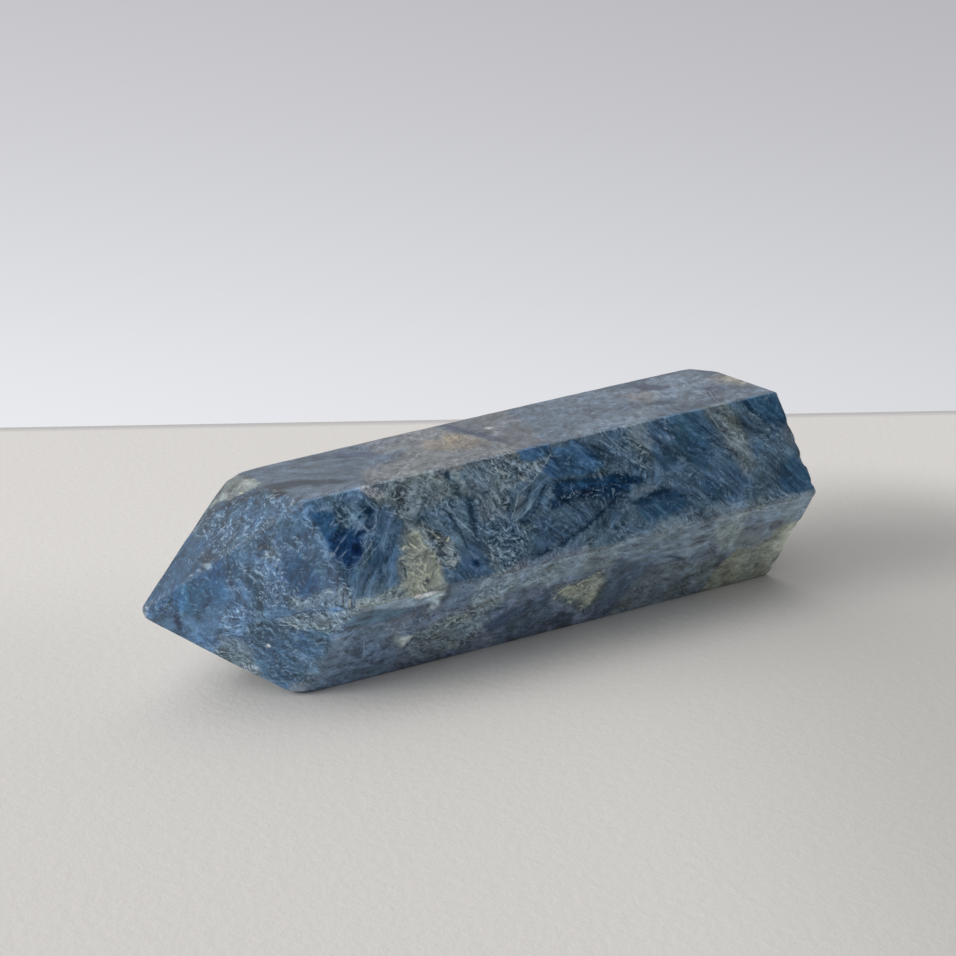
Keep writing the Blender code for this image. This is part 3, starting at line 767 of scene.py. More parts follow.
TIP_UPPER = (
    body(LAPIS, (-38.6, 0.4), (-35.0, 1.8), (-32.4, 2.4), (-32.2, -1.8), (-36.4, -1.8), shade=1.63, amount=0.85, crinkle=0.3, fibre=0.5,
         flow=RISE, soft=0.9),
    body(AZURE, (-29.8, 3.2), (-27.6, 4.0), (-26.4, 3.2), (-26.6, 1.3), (-28.6, 1.2), (-29.8, 2.0), shade=0.84, amount=0.85, crinkle=0.4,
         soft=0.5),
    body(SLATE, (-28.8, 2.6), (-27.2, 2.9), (-26.8, 2.0), (-28.4, 1.6), shade=0.51, amount=0.85, crinkle=0.3, soft=0.4),
    body(STEEL, (-28.1, 1.5), (-26.5, 1.8), (-26.6, 0.2), (-27.9, 0.1), shade=1.41, amount=0.85, crinkle=0.9, flecks=0.4, soft=0.35),
    body(AZURE, (-30.2, 1.4), (-26.4, 0.4), (-26.2, -1.6), (-25.8, -3.4), (-27.8, -4.2), (-29.6, -2.0), amount=0.85, crinkle=0.7,
         fibre=0.4, flow=RISE, soft=0.6),
    body(SLATE, (-30.4, -0.2), (-29.2, -0.4), (-29.0, -3.2), (-29.9, -3.2), shade=0.91, amount=0.85, crinkle=0.3, soft=0.35),
    body(LAPIS, (-26.2, 0.8), (-23.5, 0.5), (-23.3, -1.8), (-24.2, -3.8), (-25.6, -3.4), (-26.4, -1.0), shade=1.31, amount=0.85, crinkle=0.15,
         fibre=0.5, flow=RISE, soft=0.35),
    body(SLATE, (-25.8, 5.0), (-22.8, 5.9), (-21.4, 0.4), (-21.0, -2.2), (-23.2, -1.6), (-23.6, 1.0), (-26.0, 2.0), shade=1.19, amount=0.85,
         crinkle=0.4, fibre=0.5, flow=RISE, soft=0.5),
    body(AZURE, (-23.5, 6.0), (-22.4, 6.0), (-21.7, 2.0), (-21.1, -1.2), (-21.6, -1.2), (-22.5, 1.8), shade=1.33, amount=0.85, crinkle=0.5,
         soft=0.25),
    body(STEEL, (-26.8, -3.1), (-24.6, -3.9), (-22.4, -3.5), (-20.8, -3.2), (-19.8, -6.4), (-23.0, -5.4), (-26.2, -4.6), shade=1.51,
         amount=0.85, crinkle=1.0, flecks=0.3, fibre=0.1, soft=0.45),
)

TIP_LOWER = (
    body(SKY, (-39.6, -0.2), (-33.0, 1.6), (-32.0, -2.0), (-33.4, -3.6), (-36.8, -2.4), shade=0.91, amount=0.85, crinkle=0.1, fibre=0.4,
         flow=RISE, soft=0.6),
    streak(BLUE, 0.5, (-37.1, 0.6), (-36.8, -0.6), (-36.3, -1.8), amount=0.85, soft=0.25),
    body(SLATE, (-30.6, 0.4), (-27.0, 1.6), (-25.0, 0.8), (-21.4, 0.5), (-21.7, -2.4), (-23.4, -6.0), (-26.0, -7.0),
         (-28.6, -4.0), (-29.8, -2.0), shade=1.14, amount=0.85, crinkle=0.45, fibre=0.5, flow=FALL, soft=0.6),
    body(AZURE, (-32.8, 1.6), (-30.8, 2.1), (-30.4, -1.4), (-31.6, -2.8), (-32.6, -0.6), shade=1.34, amount=0.85, crinkle=0.85, fibre=0.2,
         soft=0.4),
    body(STEEL, (-32.6, -1.6), (-30.6, -1.4), (-29.0, -2.8), (-28.4, -5.0), (-26.4, -6.8), (-29.0, -6.4), (-32.6, -4.6), shade=1.34,
         amount=0.85, crinkle=0.4, fibre=0.4, flow=RISE, soft=0.5),
    body(MIST, (-29.5, -4.9), (-28.1, -4.9), (-28.1, -5.7), (-29.5, -5.7), shade=1.22, amount=0.85, crinkle=0.5, soft=0.3),
    body(STEEL, (-27.2, 1.4), (-25.0, 2.7), (-22.5, 3.6), (-19.2, 4.6), (-20.8, 1.4), (-23.0, 0.7), (-25.4, 0.8), shade=1.47,
         amount=0.85, crinkle=1.0, flecks=0.1, fibre=0.1, soft=0.5),
    body(AZURE, (-25.6, -2.0), (-23.0, -2.8), (-21.6, -4.2), (-21.0, -5.8), (-22.6, -4.8), (-24.4, -3.4), shade=1.26, amount=0.85, crinkle=0.4,
         fibre=0.6, flow=FALL, soft=0.35),
    body(MIST, (-24.8, -6.2), (-22.8, -5.9), (-23.0, -8.0), (-24.6, -8.0), amount=0.85, soft=0.4),
    body(PALE, (-27.9, -1.8), (-27.5, -1.8), (-27.5, -2.1), (-27.9, -2.1), amount=0.75, soft=0.12, wobble=0.1),
)


# Single strokes that are too thin for the mesh to carry: the facet, the width,
# and the points that the stroke runs through.
# pale strokes: veins and grains, and in part painted glints off cleavage planes inside the stone
BRIGHT = (
    # veins in the deep window
    (1, 0.30, -30.5, 3.5, -28.5, 3.5), (1, 0.18, -29.6, 1.6, -28.9, 2.3), (1, 0.18, -29.3, 1.5, -28.5, 1.9, -27.3, 2.0),
    (1, 0.22, -28.4, 3.0, -28.1, 2.3), (1, 0.42, -27.2, 2.0, -26.5, 1.9), (1, 0.20, -27.1, 3.0, -26.9, 2.2),
    (1, 0.16, -26.0, 2.3, -25.0, 2.8), (1, 0.20, -26.5, 1.6, -26.1, 1.0, -25.7, 0.4), (1, 0.22, -27.5, 0.1, -26.4, 1.1),
    (1, 0.16, -30.0, -1.0, -29.2, -0.3, -28.1, 0.5), (1, 0.18, -29.6, -1.6, -28.6, -1.0), (1, 0.26, -25.2, 0.4, -24.5, 0.9, -24.3, 1.9),
    (1, 0.16, -26.9, -1.2, -25.8, -0.2, -25.0, 0.2), (1, 0.13, -28.0, -2.6, -25.0, -0.4), (1, 0.13, -27.7, -3.0, -24.5, -0.9),
    (1, 0.28, -22.8, 2.5, -22.4, 2.5), (1, 0.15, -23.3, 2.0, -21.6, 1.3, -20.1, 0.2), (1, 0.40, -30.3, -1.1, -30.1, -1.3),
    # the cream body
    (1, 0.30, -21.5, -1.0, -20.1, -0.8), (1, 0.32, -23.4, -3.2, -22.4, -3.0), (1, 0.20, -22.0, -3.4, -21.4, -3.0),
    (1, 0.32, -21.8, -4.1, -21.0, -4.0), (1, 0.20, -22.7, -4.7, -21.9, -5.3), (1, 0.36, -21.4, -5.4, -20.5, -5.3),
    (1, 0.18, -20.8, -2.8, -20.2, -2.5), (1, 0.50, -22.3, -6.2, -22.1, -6.7), (1, 0.22, -22.3, -2.0, -21.7, -2.3),
    # crinkle beside it
    (1, 0.26, -19.0, -1.0, -18.5, -1.3), (1, 0.22, -19.6, -1.0, -19.4, -1.8), (1, 0.24, -18.7, -2.1, -18.1, -2.3),
    (1, 0.20, -18.2, -3.1, -17.8, -3.8, -17.2, -4.0), (1, 0.20, -17.7, -2.7, -17.3, -3.6), (1, 0.22, -20.0, -3.5, -19.0, -3.8),
    (1, 0.26, -18.2, -4.5, -17.2, -4.7), (1, 0.22, -19.2, -4.8, -18.5, -5.2), (1, 0.26, -18.5, -5.8, -18.0, -6.2),
    # plumes and the field right of them
    (1, 0.24, -16.0, 1.6, -15.7, 0.5, -15.2, -0.7, -14.3, -2.0), (1, 0.22, -16.4, 2.6, -16.5, 1.5), (1, 0.20, -17.3, 1.5, -17.5, 0.2),
    (1, 0.38, -16.9, 0.7, -16.7, 0.4), (1, 0.13, -18.3, 4.5, -17.0, 3.5), (1, 0.16, -14.2, -2.0, -14.0, -2.9, -13.5, -3.1),
    (1, 0.42, -13.3, 3.4, -13.1, 3.1), (1, 0.20, -11.2, 3.8, -10.7, 2.5), (1, 0.18, -11.8, 3.5, -11.5, 2.2),
    (1, 0.26, -11.8, 1.4, -11.6, 0.8), (1, 0.22, -12.5, 1.2, -12.3, 0.7), (1, 0.26, -10.2, 1.6, -9.6, 1.4),
    (1, 0.38, -8.6, 3.7, -7.5, 3.0), (1, 0.34, -8.2, 2.0, -7.8, 1.5), (1, 0.20, -7.6, 1.2, -7.0, 2.0),
    (1, 0.22, -6.3, 2.7, -6.0, 2.0, -5.5, 2.5), (1, 0.26, -5.5, 1.9, -5.0, 1.7), (1, 0.20, -10.7, -0.8, -10.2, -1.2, -9.3, -1.7),
    (1, 0.22, -13.2, -3.0, -13.0, -3.7), (1, 0.32, -12.7, -4.6, -12.8, -5.5), (1, 0.16, -12.3, -4.2, -11.5, -3.8),
    (1, 0.22, -12.0, -4.8, -11.7, -5.4), (1, 0.20, -11.7, -4.8, -10.5, -5.0), (1, 0.26, -11.5, -5.3, -10.8, -5.8),
    (1, 0.16, -11.0, -3.4, -10.2, -3.7), (1, 0.20, -10.2, -5.1, -10.7, -5.7), (1, 0.18, -9.6, -3.8, -9.0, -4.5),
    # the blade
    (1, 0.17, -9.1, -1.8, -8.2, -0.7, -7.1, 0.8, -5.2, 1.6), (1, 0.15, -5.2, 1.6, -3.0, 3.0, -1.3, 4.4), (1, 0.15, -6.9, -1.2, -5.9, -0.5),
    # right half
    (1, 0.34, 3.6, 1.3, 3.8, 0.3), (1, 0.18, 4.8, 5.1, 7.5, 2.6, 10.5, 0.1), (1, 0.15, 6.3, 5.1, 8.6, 2.2, 11.3, -0.3),
    (1, 0.36, 13.4, 3.9, 13.4, 3.5), (1, 0.34, 14.3, 3.6, 14.5, 3.2), (1, 0.30, 15.0, 3.5, 15.2, 3.2),
    (1, 0.16, 21.1, 5.3, 22.1, 2.6, 22.8, 0.7), (1, 0.22, 24.5, 2.2, 24.7, 1.1), (1, 0.22, 26.9, 4.5, 28.4, 3.0),
    (1, 0.30, 27.4, 1.5, 27.6, 1.2), (1, 0.30, 28.7, 1.9, 28.9, 1.7), (1, 0.32, 29.7, 1.2, 29.9, 0.9), (1, 0.28, 30.1, 0.6, 30.3, 0.3),
    # lower front
    (2, 0.20, -13.2, 4.6, -11.8, 3.6, -10.8, 2.6, -10.4, 1.4), (2, 0.16, -13.0, 3.6, -11.2, 1.6), (2, 0.20, -14.2, 5.4, -14.7, 4.2, -15.0, 3.2),
    (2, 0.30, -25.1, 1.6, -24.5, 1.4), (2, 0.26, -24.2, 1.3, -23.8, 1.1), (2, 0.28, -22.9, 1.8, -22.6, 1.0), (2, 0.22, -23.5, 0.7, -22.9, 0.3),
    (2, 0.50, -22.4, -0.5, -21.2, -0.8), (2, 0.55, -22.2, -0.9, -21.4, -1.2), (2, 0.45, -22.0, -1.4, -21.6, -2.1),
    (2, 0.20, -29.6, 1.0, -28.8, 1.9), (2, 0.18, -27.4, 0.6, -26.2, -2.6),
    (2, 0.22, -21.0, -2.4, -20.4, -3.4), (2, 0.24, -18.9, -2.4, -18.3, -2.9), (2, 0.24, -16.0, -4.9, -14.4, -4.5),
    (2, 0.22, -3.1, 2.9, -2.4, 2.7), (2, 0.30, 9.1, -1.9, 9.4, -2.2), (2, 0.26, 11.2, -2.8, 11.4, -3.2), (2, 0.16, 3.4, 5.5, 6.4, 4.4),
    # top and point
    (0, 0.14, -20.0, -4.2, -18.8, -3.4), (0, 0.18, -17.9, -2.8, -16.9, -2.0), (0, 0.15, -16.0, -1.2, -14.8, -0.5),
    (0, 0.34, -14.7, -0.4, -14.3, -0.2), (0, 0.16, 23.4, -5.6, 24.6, -3.2, 26.0, -1.0), (0, 0.13, 25.2, -3.4, 26.6, -0.6),
    (0, 0.15, 24.4, 1.6, 25.1, 2.4), (0, 0.14, -10.6, 0.4, -9.9, 2.0), (0, 0.20, -7.3, 0.2, -7.0, 2.4), (0, 0.18, -8.4, 1.0, -7.9, 3.2),
    (6, 0.16, -29.4, 3.2, -29.6, 2.2, -29.9, 1.2), (6, 0.16, -28.8, 0.9, -27.4, 1.3),
    (7, 0.60, -33.6, 2.15, -33.2, 2.0), (7, 0.34, -34.5, 1.85, -34.2, 1.9), (7, 0.28, -35.3, 1.6, -35.0, 1.65),
)
DARK = (
    (1, 0.50, -25.7, 0.8, -25.4, 0.7), (1, 0.60, -27.8, -0.9, -27.1, -1.0), (1, 0.50, -27.3, 0.2, -26.1, 0.5),
    (1, 0.28, -30.2, 0.3, -29.3, 0.2), (1, 0.28, -29.0, 0.5, -28.1, 0.8), (1, 0.50, -25.1, -3.2, -24.6, -2.6),
    (1, 0.50, -25.6, 2.4, -24.4, 2.2), (1, 0.36, -27.9, 2.6, -27.6, 2.3),
    (1, 0.35, -21.4, -5.9, -20.9, -6.0), (1, 0.30, -23.4, -5.5, -22.9, -3.8), (1, 0.30, -19.2, -1.5, -18.3, -1.8),
    (1, 0.36, -18.9, -2.7, -18.3, -2.8), (1, 0.26, -18.7, -3.5, -18.2, -4.5),
    (1, 0.48, -14.7, 4.6, -14.6, 4.0), (1, 0.38, -14.7, 3.2, -14.7, 2.9), (1, 0.52, -14.9, -5.2, -14.8, -5.6),
    (1, 0.62, -13.3, 0.9, -13.5, -1.2, -13.9, -2.8), (1, 0.34, -16.2, 0.6, -15.5, -1.5, -15.3, -3.9),
    (1, 0.30, -11.5, 1.7, -10.3, 1.7), (1, 0.28, -12.0, 1.2, -11.9, 0.7), (1, 0.34, -12.5, -3.1, -11.7, -3.2),
    (1, 0.34, -12.4, -5.0, -12.1, -5.3), (1, 0.30, -10.7, -3.9, -9.4, -4.1), (1, 0.24, -11.3, -4.4, -10.4, -4.4),
    (1, 0.32, -9.1, -2.3, -7.5, -1.9, -6.3, -1.2, -5.0, -0.1, -3.4, 1.2), (1, 0.20, -7.5, -1.3, -6.8, -0.8),
    (1, 0.50, -1.6, 1.1, 0.9, 0.7, 3.6, 0.2), (1, 0.30, -1.0, -4.7, 1.3, -3.5, 3.2, -2.8, 5.2, -1.6),
    (1, 0.50, 6.3, -3.1, 8.6, -2.6, 12.4, -2.4), (1, 0.32, 3.6, 4.5, 6.4, 2.7), (1, 0.30, 2.6, 3.7, 5.8, 2.0),
    (1, 0.34, 12.9, -3.4, 14.0, -3.4), (1, 0.40, 4.6, -0.3, 9.0, -0.9),
    (2, 0.36, -29.4, 4.2, -27.4, 4.1), (2, 0.30, -20.7, -1.0, -21.5, -2.9), (2, 0.34, 12.0, 2.6, 15.2, 1.2),
    (2, 0.24, -19.0, -3.8, -18.2, -4.2), (2, 0.24, 2.6, -3.6, 3.4, -5.0),
    (0, 0.26, 25.8, 2.0, 26.6, 3.4), (0, 0.22, 24.0, -3.6, 25.6, -1.0), (0, 0.34, -26.0, 4.9, -23.0, 4.3, -20.0, 3.0),
    (0, 0.26, -31.4, 0.9, -29.2, 0.0, -26.6, -1.8), (0, 0.40, -6.4, 3.4, -5.6, 1.2), (6, 0.22, -29.0, 3.4, -29.3, 2.4), (7, 0.26, -28.8, 2.0, -27.6, 1.4),
)


# ===========================================================================
# Laying the bodies into the stone
# ===========================================================================
FLOWS = {}


def set_flows():
    """The four ways that fibres run, as directions in the stone."""
    along, across = face_frame(PRISM[1])
    for name, degrees in (("rise", 55.0), ("fall", -52.0), ("long", -9.0), ("slant", 27.0)):
        a = math.radians(degrees)
        FLOWS[name] = unit(math.cos(a) * along + math.sin(a) * across)


set_flows()
FLOW_LIST = [FLOWS[k] for k in ("rise", "fall", "long", "slant")]


def from_outline(s, t, outline):
    """Distance to a closed outline: negative inside it."""
    best = np.full(len(s), 1e9)
    inside = np.zeros(len(s), bool)
    for a, b in zip(outline, np.roll(outline, -1, axis=0)):
        e = b - a
        ps, pt = s - a[0], t - a[1]
        h = np.clip((ps * e[0] + pt * e[1]) / max(e @ e, 1e-9), 0.0, 1.0)
        best = np.minimum(best, np.hypot(ps - h * e[0], pt - h * e[1]))
        if a[1] != b[1]:
            crosses = (a[1] > t) != (b[1] > t)
            inside ^= crosses & (s < a[0] + (t - a[1]) / (b[1] - a[1]) * e[0])
    return np.where(inside, -best, best)


def from_line(s, t, line, width):
    """Distance to a streak that thins out towards both ends."""
    lengths = np.linalg.norm(np.diff(line, axis=0), axis=1)
    total, before = lengths.sum(), 0.0
    best = np.full(len(s), 1e9)
    for a, b, length in zip(line[:-1], line[1:], lengths):
        e = b - a
        ps, pt = s - a[0], t - a[1]
        h = np.clip((ps * e[0] + pt * e[1]) / max(e @ e, 1e-9), 0.0, 1.0)
        share = (before + h * length) / total
        half = 0.5 * width * (1.0 - 0.75 * np.abs(2 * share - 1) ** 2.5)
        best = np.minimum(best, np.hypot(ps - h * e[0], pt - h * e[1]) - half)
        before += length
    return best


class Grain:
    """The colour and the kinds of fine pattern at each point of the stone."""

    def __init__(self, points):
        self.points = points
        self.noise = Noise(21)
        self.planes = PRISM + TIP + [SAW]
        normals = np.array([p[0] for p in self.planes])
        offsets = np.array([p[1] for p in self.planes])
        self.under = offsets - points @ normals.T      # how deep under each facet
        self.own = self.under.argmin(1)
        n = self.noise
        a = n.fractal(points * np.array((0.55, 1.0, 1.0)), 0.16, 4)
        b = n.fractal(points * np.array((0.55, 1.0, 1.0)) + 40.0, 0.21, 4)
        c = n.fractal(points * np.array((0.45, 1.0, 1.0)) + 80.0, 0.30, 4)
        mix = smoothstep(-0.28, 0.30, a)[:, None]
        colour = TEAL * (1 - mix) + BLUE * mix
        mix = smoothstep(0.02, 0.42, b)[:, None]
        colour = colour * (1 - mix) + STEEL * mix
        mix = 0.7 * smoothstep(0.16, 0.48, c)[:, None]
        colour = colour * (1 - mix) + GREEN * mix
        self.tone = colour_with_painted_facet_light(colour, None)
        self.grain = np.stack((
            0.30 + 0.45 * smoothstep(-0.1, 0.5, n.fractal(points + 120.0, 0.20, 3)),
            0.45 + 0.35 * smoothstep(-0.3, 0.4, n.fractal(points + 160.0, 0.17, 2)),
            0.05 + 0.25 * smoothstep(0.1, 0.5, n.fractal(points + 200.0, 0.24, 2)),
        ), axis=1)
        turn = n.fractal(points + 240.0, 0.11, 2)
        self.flow = np.stack((
            smoothstep(0.02, 0.16, turn),
            smoothstep(0.02, 0.16, -turn),
            0.55 * smoothstep(0.16, 0.02, np.abs(turn)),
            0.35 * smoothstep(0.16, 0.02, np.abs(turn)),
        ), axis=1)

    def lay(self, face, bodies, shown=(), spill=0.45):
        """Lays bodies on one facet.  They go deep under it where they come out
        on a facet that has no layout of its own, and barely onto the others."""
        normal, _ = self.planes[face]
        along, across = face_frame(self.planes[face])
        s, t, depth = self.points @ along, self.points @ across, np.abs(self.under[:, face])
        on_shown = np.isin(self.own, [k for k in shown if k != face])
        for number, item in enumerate(bodies):
            outline = item["outline"]
            pad = 1.2 + item["soft"] + (item["line"] or 0.0)
            low, high = outline.min(0) - pad, outline.max(0) + pad
            reach = np.where(on_shown, spill, item["depth"])
            near = np.nonzero((depth < reach) & (s > low[0]) & (s < high[0])
                              & (t > low[1]) & (t < high[1]))[0]
            if not len(near):
                continue
            p = self.points[near] + 3.7 * number + 11.0 * face
            if item["line"] is None:
                d = from_outline(s[near], t[near], outline)
            else:
                d = from_line(s[near], t[near], outline, item["line"])
            edge = self.noise.fractal(p, 0.55, 4, 0.6)
            if item["flow"] is not None:
                way = np.array(item["flow"], float) @ np.array(FLOW_LIST)
                q = p - 0.82 * (p @ way)[:, None] * way
                edge = 0.45 * edge + 0.85 * self.noise.fractal(q, 1.1, 3, 0.6)
            d = d + 1.7 * item["wobble"] * edge
            fade = reach[near]
            cover = item["amount"] * smoothstep(0.75 * item["soft"], -0.75 * item["soft"], d)
            cover = cover * smoothstep(fade, 0.55 * fade, depth[near])
            c = cover[:, None]
            # the body's tone goes in through its facet's light and mirror: painted light and shade, facet by facet
            self.tone[near] = self.tone[near] * (1 - c) + colour_with_painted_facet_light(item["colour"], face) * c
            for k, name in enumerate(("crinkle", "fibre", "flecks")):
                if item[name] is not None:
                    amount = item[name] * {"crinkle": CRUMPLED, "fibre": BRUSHED}.get(name, {}).get(face, 1.0)
                    self.grain[near, k] = self.grain[near, k] * (1 - cover) + amount * cover
            if item["flow"] is not None:
                self.flow[near] = self.flow[near] * (1 - c) + np.array(item["flow"], float) * c


def patch(rng, centre, length, width, degrees, points=10, pointed=0.0):
    """An irregular outline, long in one direction and pointed if asked for."""
    angle = np.linspace(0.0, 2 * math.pi, points, endpoint=False) + rng.uniform(-0.15, 0.15, points)
    size = rng.uniform(0.72, 1.18, points)
    x = 0.5 * length * np.cos(angle) * size
    y = 0.5 * width * np.sin(angle) * size * (1 - pointed * np.abs(np.cos(angle)) ** 2)
    a = math.radians(degrees)
    return [
        (centre[0] + math.cos(a) * u - math.sin(a) * v, centre[1] + math.sin(a) * u + math.cos(a) * v)
        for u, v in zip(x, y)
    ]


def grown(seed, low, high, count):
    """Bodies of the kinds that show in front, for a side that is turned away."""
    rng = np.random.default_rng(seed)
    flows = (RISE, FALL, LONG, SLANT)
    angles = (52.0, -48.0, -8.0, 25.0)
    kinds = ("ground", "window", "slate", "cream", "crinkle", "blade", "dark", "band", "green", "spots")
    order = [kinds[k % len(kinds)] for k in range(count)]
    rng.shuffle(order)
    first = [k for k in order if k in ("ground", "green", "band", "dark", "slate")]
    rest = [k for k in order if k not in ("ground", "green", "band", "dark", "slate")]
    out = []
    for kind in first + rest:
        centre = rng.uniform(low, high)
        way = rng.integers(0, 4)
        flow, angle = flows[way], angles[way] + rng.uniform(-9, 9)
        if kind == "ground":
            out.append(body((BLUE, TEAL, STEEL, SLATE)[rng.integers(0, 4)],
                            *patch(rng, centre, rng.uniform(8, 14), rng.uniform(4, 7), angle),
                            amount=0.8, soft=0.9, fibre=0.7, crinkle=0.25, flow=flow))
        elif kind == "green":
            out.append(body(GREEN, *patch(rng, centre, rng.uniform(5, 9), rng.uniform(3, 5), angle),
                            amount=0.85, soft=0.6, fibre=0.7, crinkle=0.5, flow=flow))
        elif kind == "band":
            out.append(body(STEEL, *patch(rng, centre, rng.uniform(9, 13), rng.uniform(2.6, 3.6), angle),
                            soft=0.5, fibre=0.9, crinkle=0.25, flow=flow))
            out.append(body(BEIGE, *patch(rng, centre, rng.uniform(7, 10), rng.uniform(1.5, 2.2), angle),
                            shade=0.90, amount=0.6, soft=0.6, fibre=0.9, crinkle=0.3, flow=flow))
        elif kind == "dark":
            out.append(body((NAVY, INK, SMOKE)[rng.integers(0, 3)],
                            *patch(rng, centre, rng.uniform(5, 10), rng.uniform(1.4, 2.8), angle),
                            amount=0.6, soft=0.6, fibre=0.7, crinkle=0.15, flow=flow))
        elif kind == "slate":
            out.append(body(SLATE, *patch(rng, centre, rng.uniform(6, 9), rng.uniform(2.5, 4), angle),
                            soft=0.5, fibre=1.0, crinkle=0.12, flow=flow))
        elif kind == "window":
            out.append(body(NAVY, *patch(rng, centre, rng.uniform(5, 8), rng.uniform(3, 4.6), angle),
                            soft=0.4, fibre=0.5, crinkle=0.55, flow=flow))
            out.append(body(DEEP, *patch(rng, centre, rng.uniform(2.4, 4), rng.uniform(1.4, 2.4), angle),
                            amount=0.7, soft=0.7, fibre=0.3, crinkle=0.4, flow=flow))
        elif kind == "cream":
            out.append(body(OLIVE, *patch(rng, centre, rng.uniform(4, 6.5), rng.uniform(2.0, 3.2), angle, 12, 0.5),
                            amount=0.85, soft=0.6, wobble=0.6, flecks=0.4, crinkle=0.4, fibre=0.5, depth=3.0, flow=flow))
            out.append(body(BEIGE, *patch(rng, centre, rng.uniform(2.6, 4.4), rng.uniform(1.1, 1.8), angle, 12, 0.5), shade=0.90,
                            amount=0.55, soft=0.9, wobble=0.6, flecks=0.35, crinkle=0.35, fibre=0.5, depth=3.0, flow=flow))
        elif kind == "crinkle":
            out.append(body((TEAL, OLIVE, STEEL)[rng.integers(0, 3)],
                            *patch(rng, centre, rng.uniform(4, 6), rng.uniform(3, 4.4), angle),
                            amount=0.85, soft=0.5, crinkle=1.0, fibre=0.15))
        elif kind == "blade":
            lens = patch(rng, centre, rng.uniform(6, 9), rng.uniform(1.4, 2.0), angle, 12, 0.85)
            out.append(body(STEEL, *lens, soft=0.2, wobble=0.12, fibre=0.8, crinkle=0.05, flow=flow))
            out.append(streak(NAVY, 0.4, *lens[:6], amount=0.85))
            out.append(streak(PALE, 0.14, *lens[6:12], amount=0.25))
        else:
            for _ in range(4):
                at = centre + rng.normal(0, 1.1, 2)
                size = rng.uniform(0.3, 0.8)
                out.append(body((NAVY, BEIGE)[rng.integers(0, 2)], *patch(rng, at, size * 1.5, size, angle, 7),
                                amount=0.75, soft=0.2, wobble=0.2))
    return out


# ===========================================================================
# The stone itself
# ===========================================================================
SHOWN = (0, 1, 2, 6, 7, 8)       # facets that the listed layout covers


def painted(ground):
    grain = Grain(ground)
    # plain ground of the facets that are laid out in the lists
    # the plain ground tones go in through each facet's light and mirror, so they carry painted light and shade, facet
    # by facet
    soft = grain.noise.fractal(ground * np.array((0.5, 1.0, 1.0)) + 300.0, 0.22, 4)
    for face, colour, low, high, crinkle in ((1, TEAL, 0.72, 1.20, 0.35), (2, IRON, 0.80, 1.25, 0.20), (0, MIST, 0.90, 1.18, 0.08),
                                             (6, MIST, 0.76, 1.12, 0.45), (7, SKY, 0.78, 1.00, 0.50),
                                             (8, SKY, 0.82, 1.10, 0.50)):
        on = grain.own == face
        mix = smoothstep(-0.30, 0.30, soft[on])[:, None]
        grain.tone[on] = colour_with_painted_facet_light(colour * (low + (high - low) * mix), face)
        grain.grain[on] = (crinkle, 0.60, 0.03)
    grain.flow[grain.own == 2] = FALL
    grain.flow[grain.own == 0] = RISE
    for face in (6, 7, 8):
        grain.flow[grain.own == face] = RISE
    # sides that are turned away
    for face, seed in ((3, 31), (4, 38), (5, 47)):
        grain.lay(face, grown(seed, (-30, -5.5), (30, 5.5), 34), SHOWN, 0.0)
    for face, seed in ((9, 52), (10, 58), (11, 61)):
        grain.lay(face, grown(seed, (-36, -5), (-23, 5), 9), SHOWN, 0.0)
    grain.lay(12, grown(70, (-9, -9), (9, 9), 14), SHOWN, 0.0)
    # sides that the photo shows
    grain.lay(0, TOP, SHOWN)
    grain.lay(2, LOWER_FRONT, SHOWN)
    grain.lay(6, TIP_TOP, SHOWN)
    grain.lay(8, TIP_LOWER, SHOWN)
    grain.lay(7, TIP_UPPER, SHOWN)
    grain.lay(1, UPPER_FRONT, SHOWN)
    return grain


def make_stone():
    rings, middle = make_rings()
    sharp, faces = stitch(rings, middle)
    ground, worn, chipped = surface(sharp)
    grain = painted(ground)

    mesh = bpy.data.meshes.new("kyanite_stone")
    mesh.from_pydata(((ground + SHIFT) * MM).tolist(), [], faces)
    mesh.validate()
    if sum(f.normal.dot(f.center - Vector((0, 0, 0.011))) > 0 for f in mesh.polygons) < len(mesh.polygons) / 2:
        mesh.flip_normals()
    mesh.polygons.foreach_set("use_smooth", [True] * len(mesh.polygons))

    # wear: pale ridges, fresh chips, and the matt cut of the foot
    edge = smoothstep(0.055, 0.20, worn)
    fresh = smoothstep(0.07, 0.02, chipped)
    foot = smoothstep(0.30, -0.05, grain.under[:, 12])
    data = {
        "tone": np.column_stack((grain.tone, foot)),
        "grain": np.column_stack((grain.grain, np.maximum(edge, fresh))),
        "flow": grain.flow,
    }
    for name, values in data.items():
        layer = mesh.attributes.new(name, "FLOAT_COLOR", "POINT")
        layer.data.foreach_set("color", np.clip(values, 0, 1).astype(np.float32).ravel())
    mesh.update()
    return mesh


STONE = bpy.data.objects.new("kyanite_stone", make_stone())
bpy.context.scene.collection.objects.link(STONE)
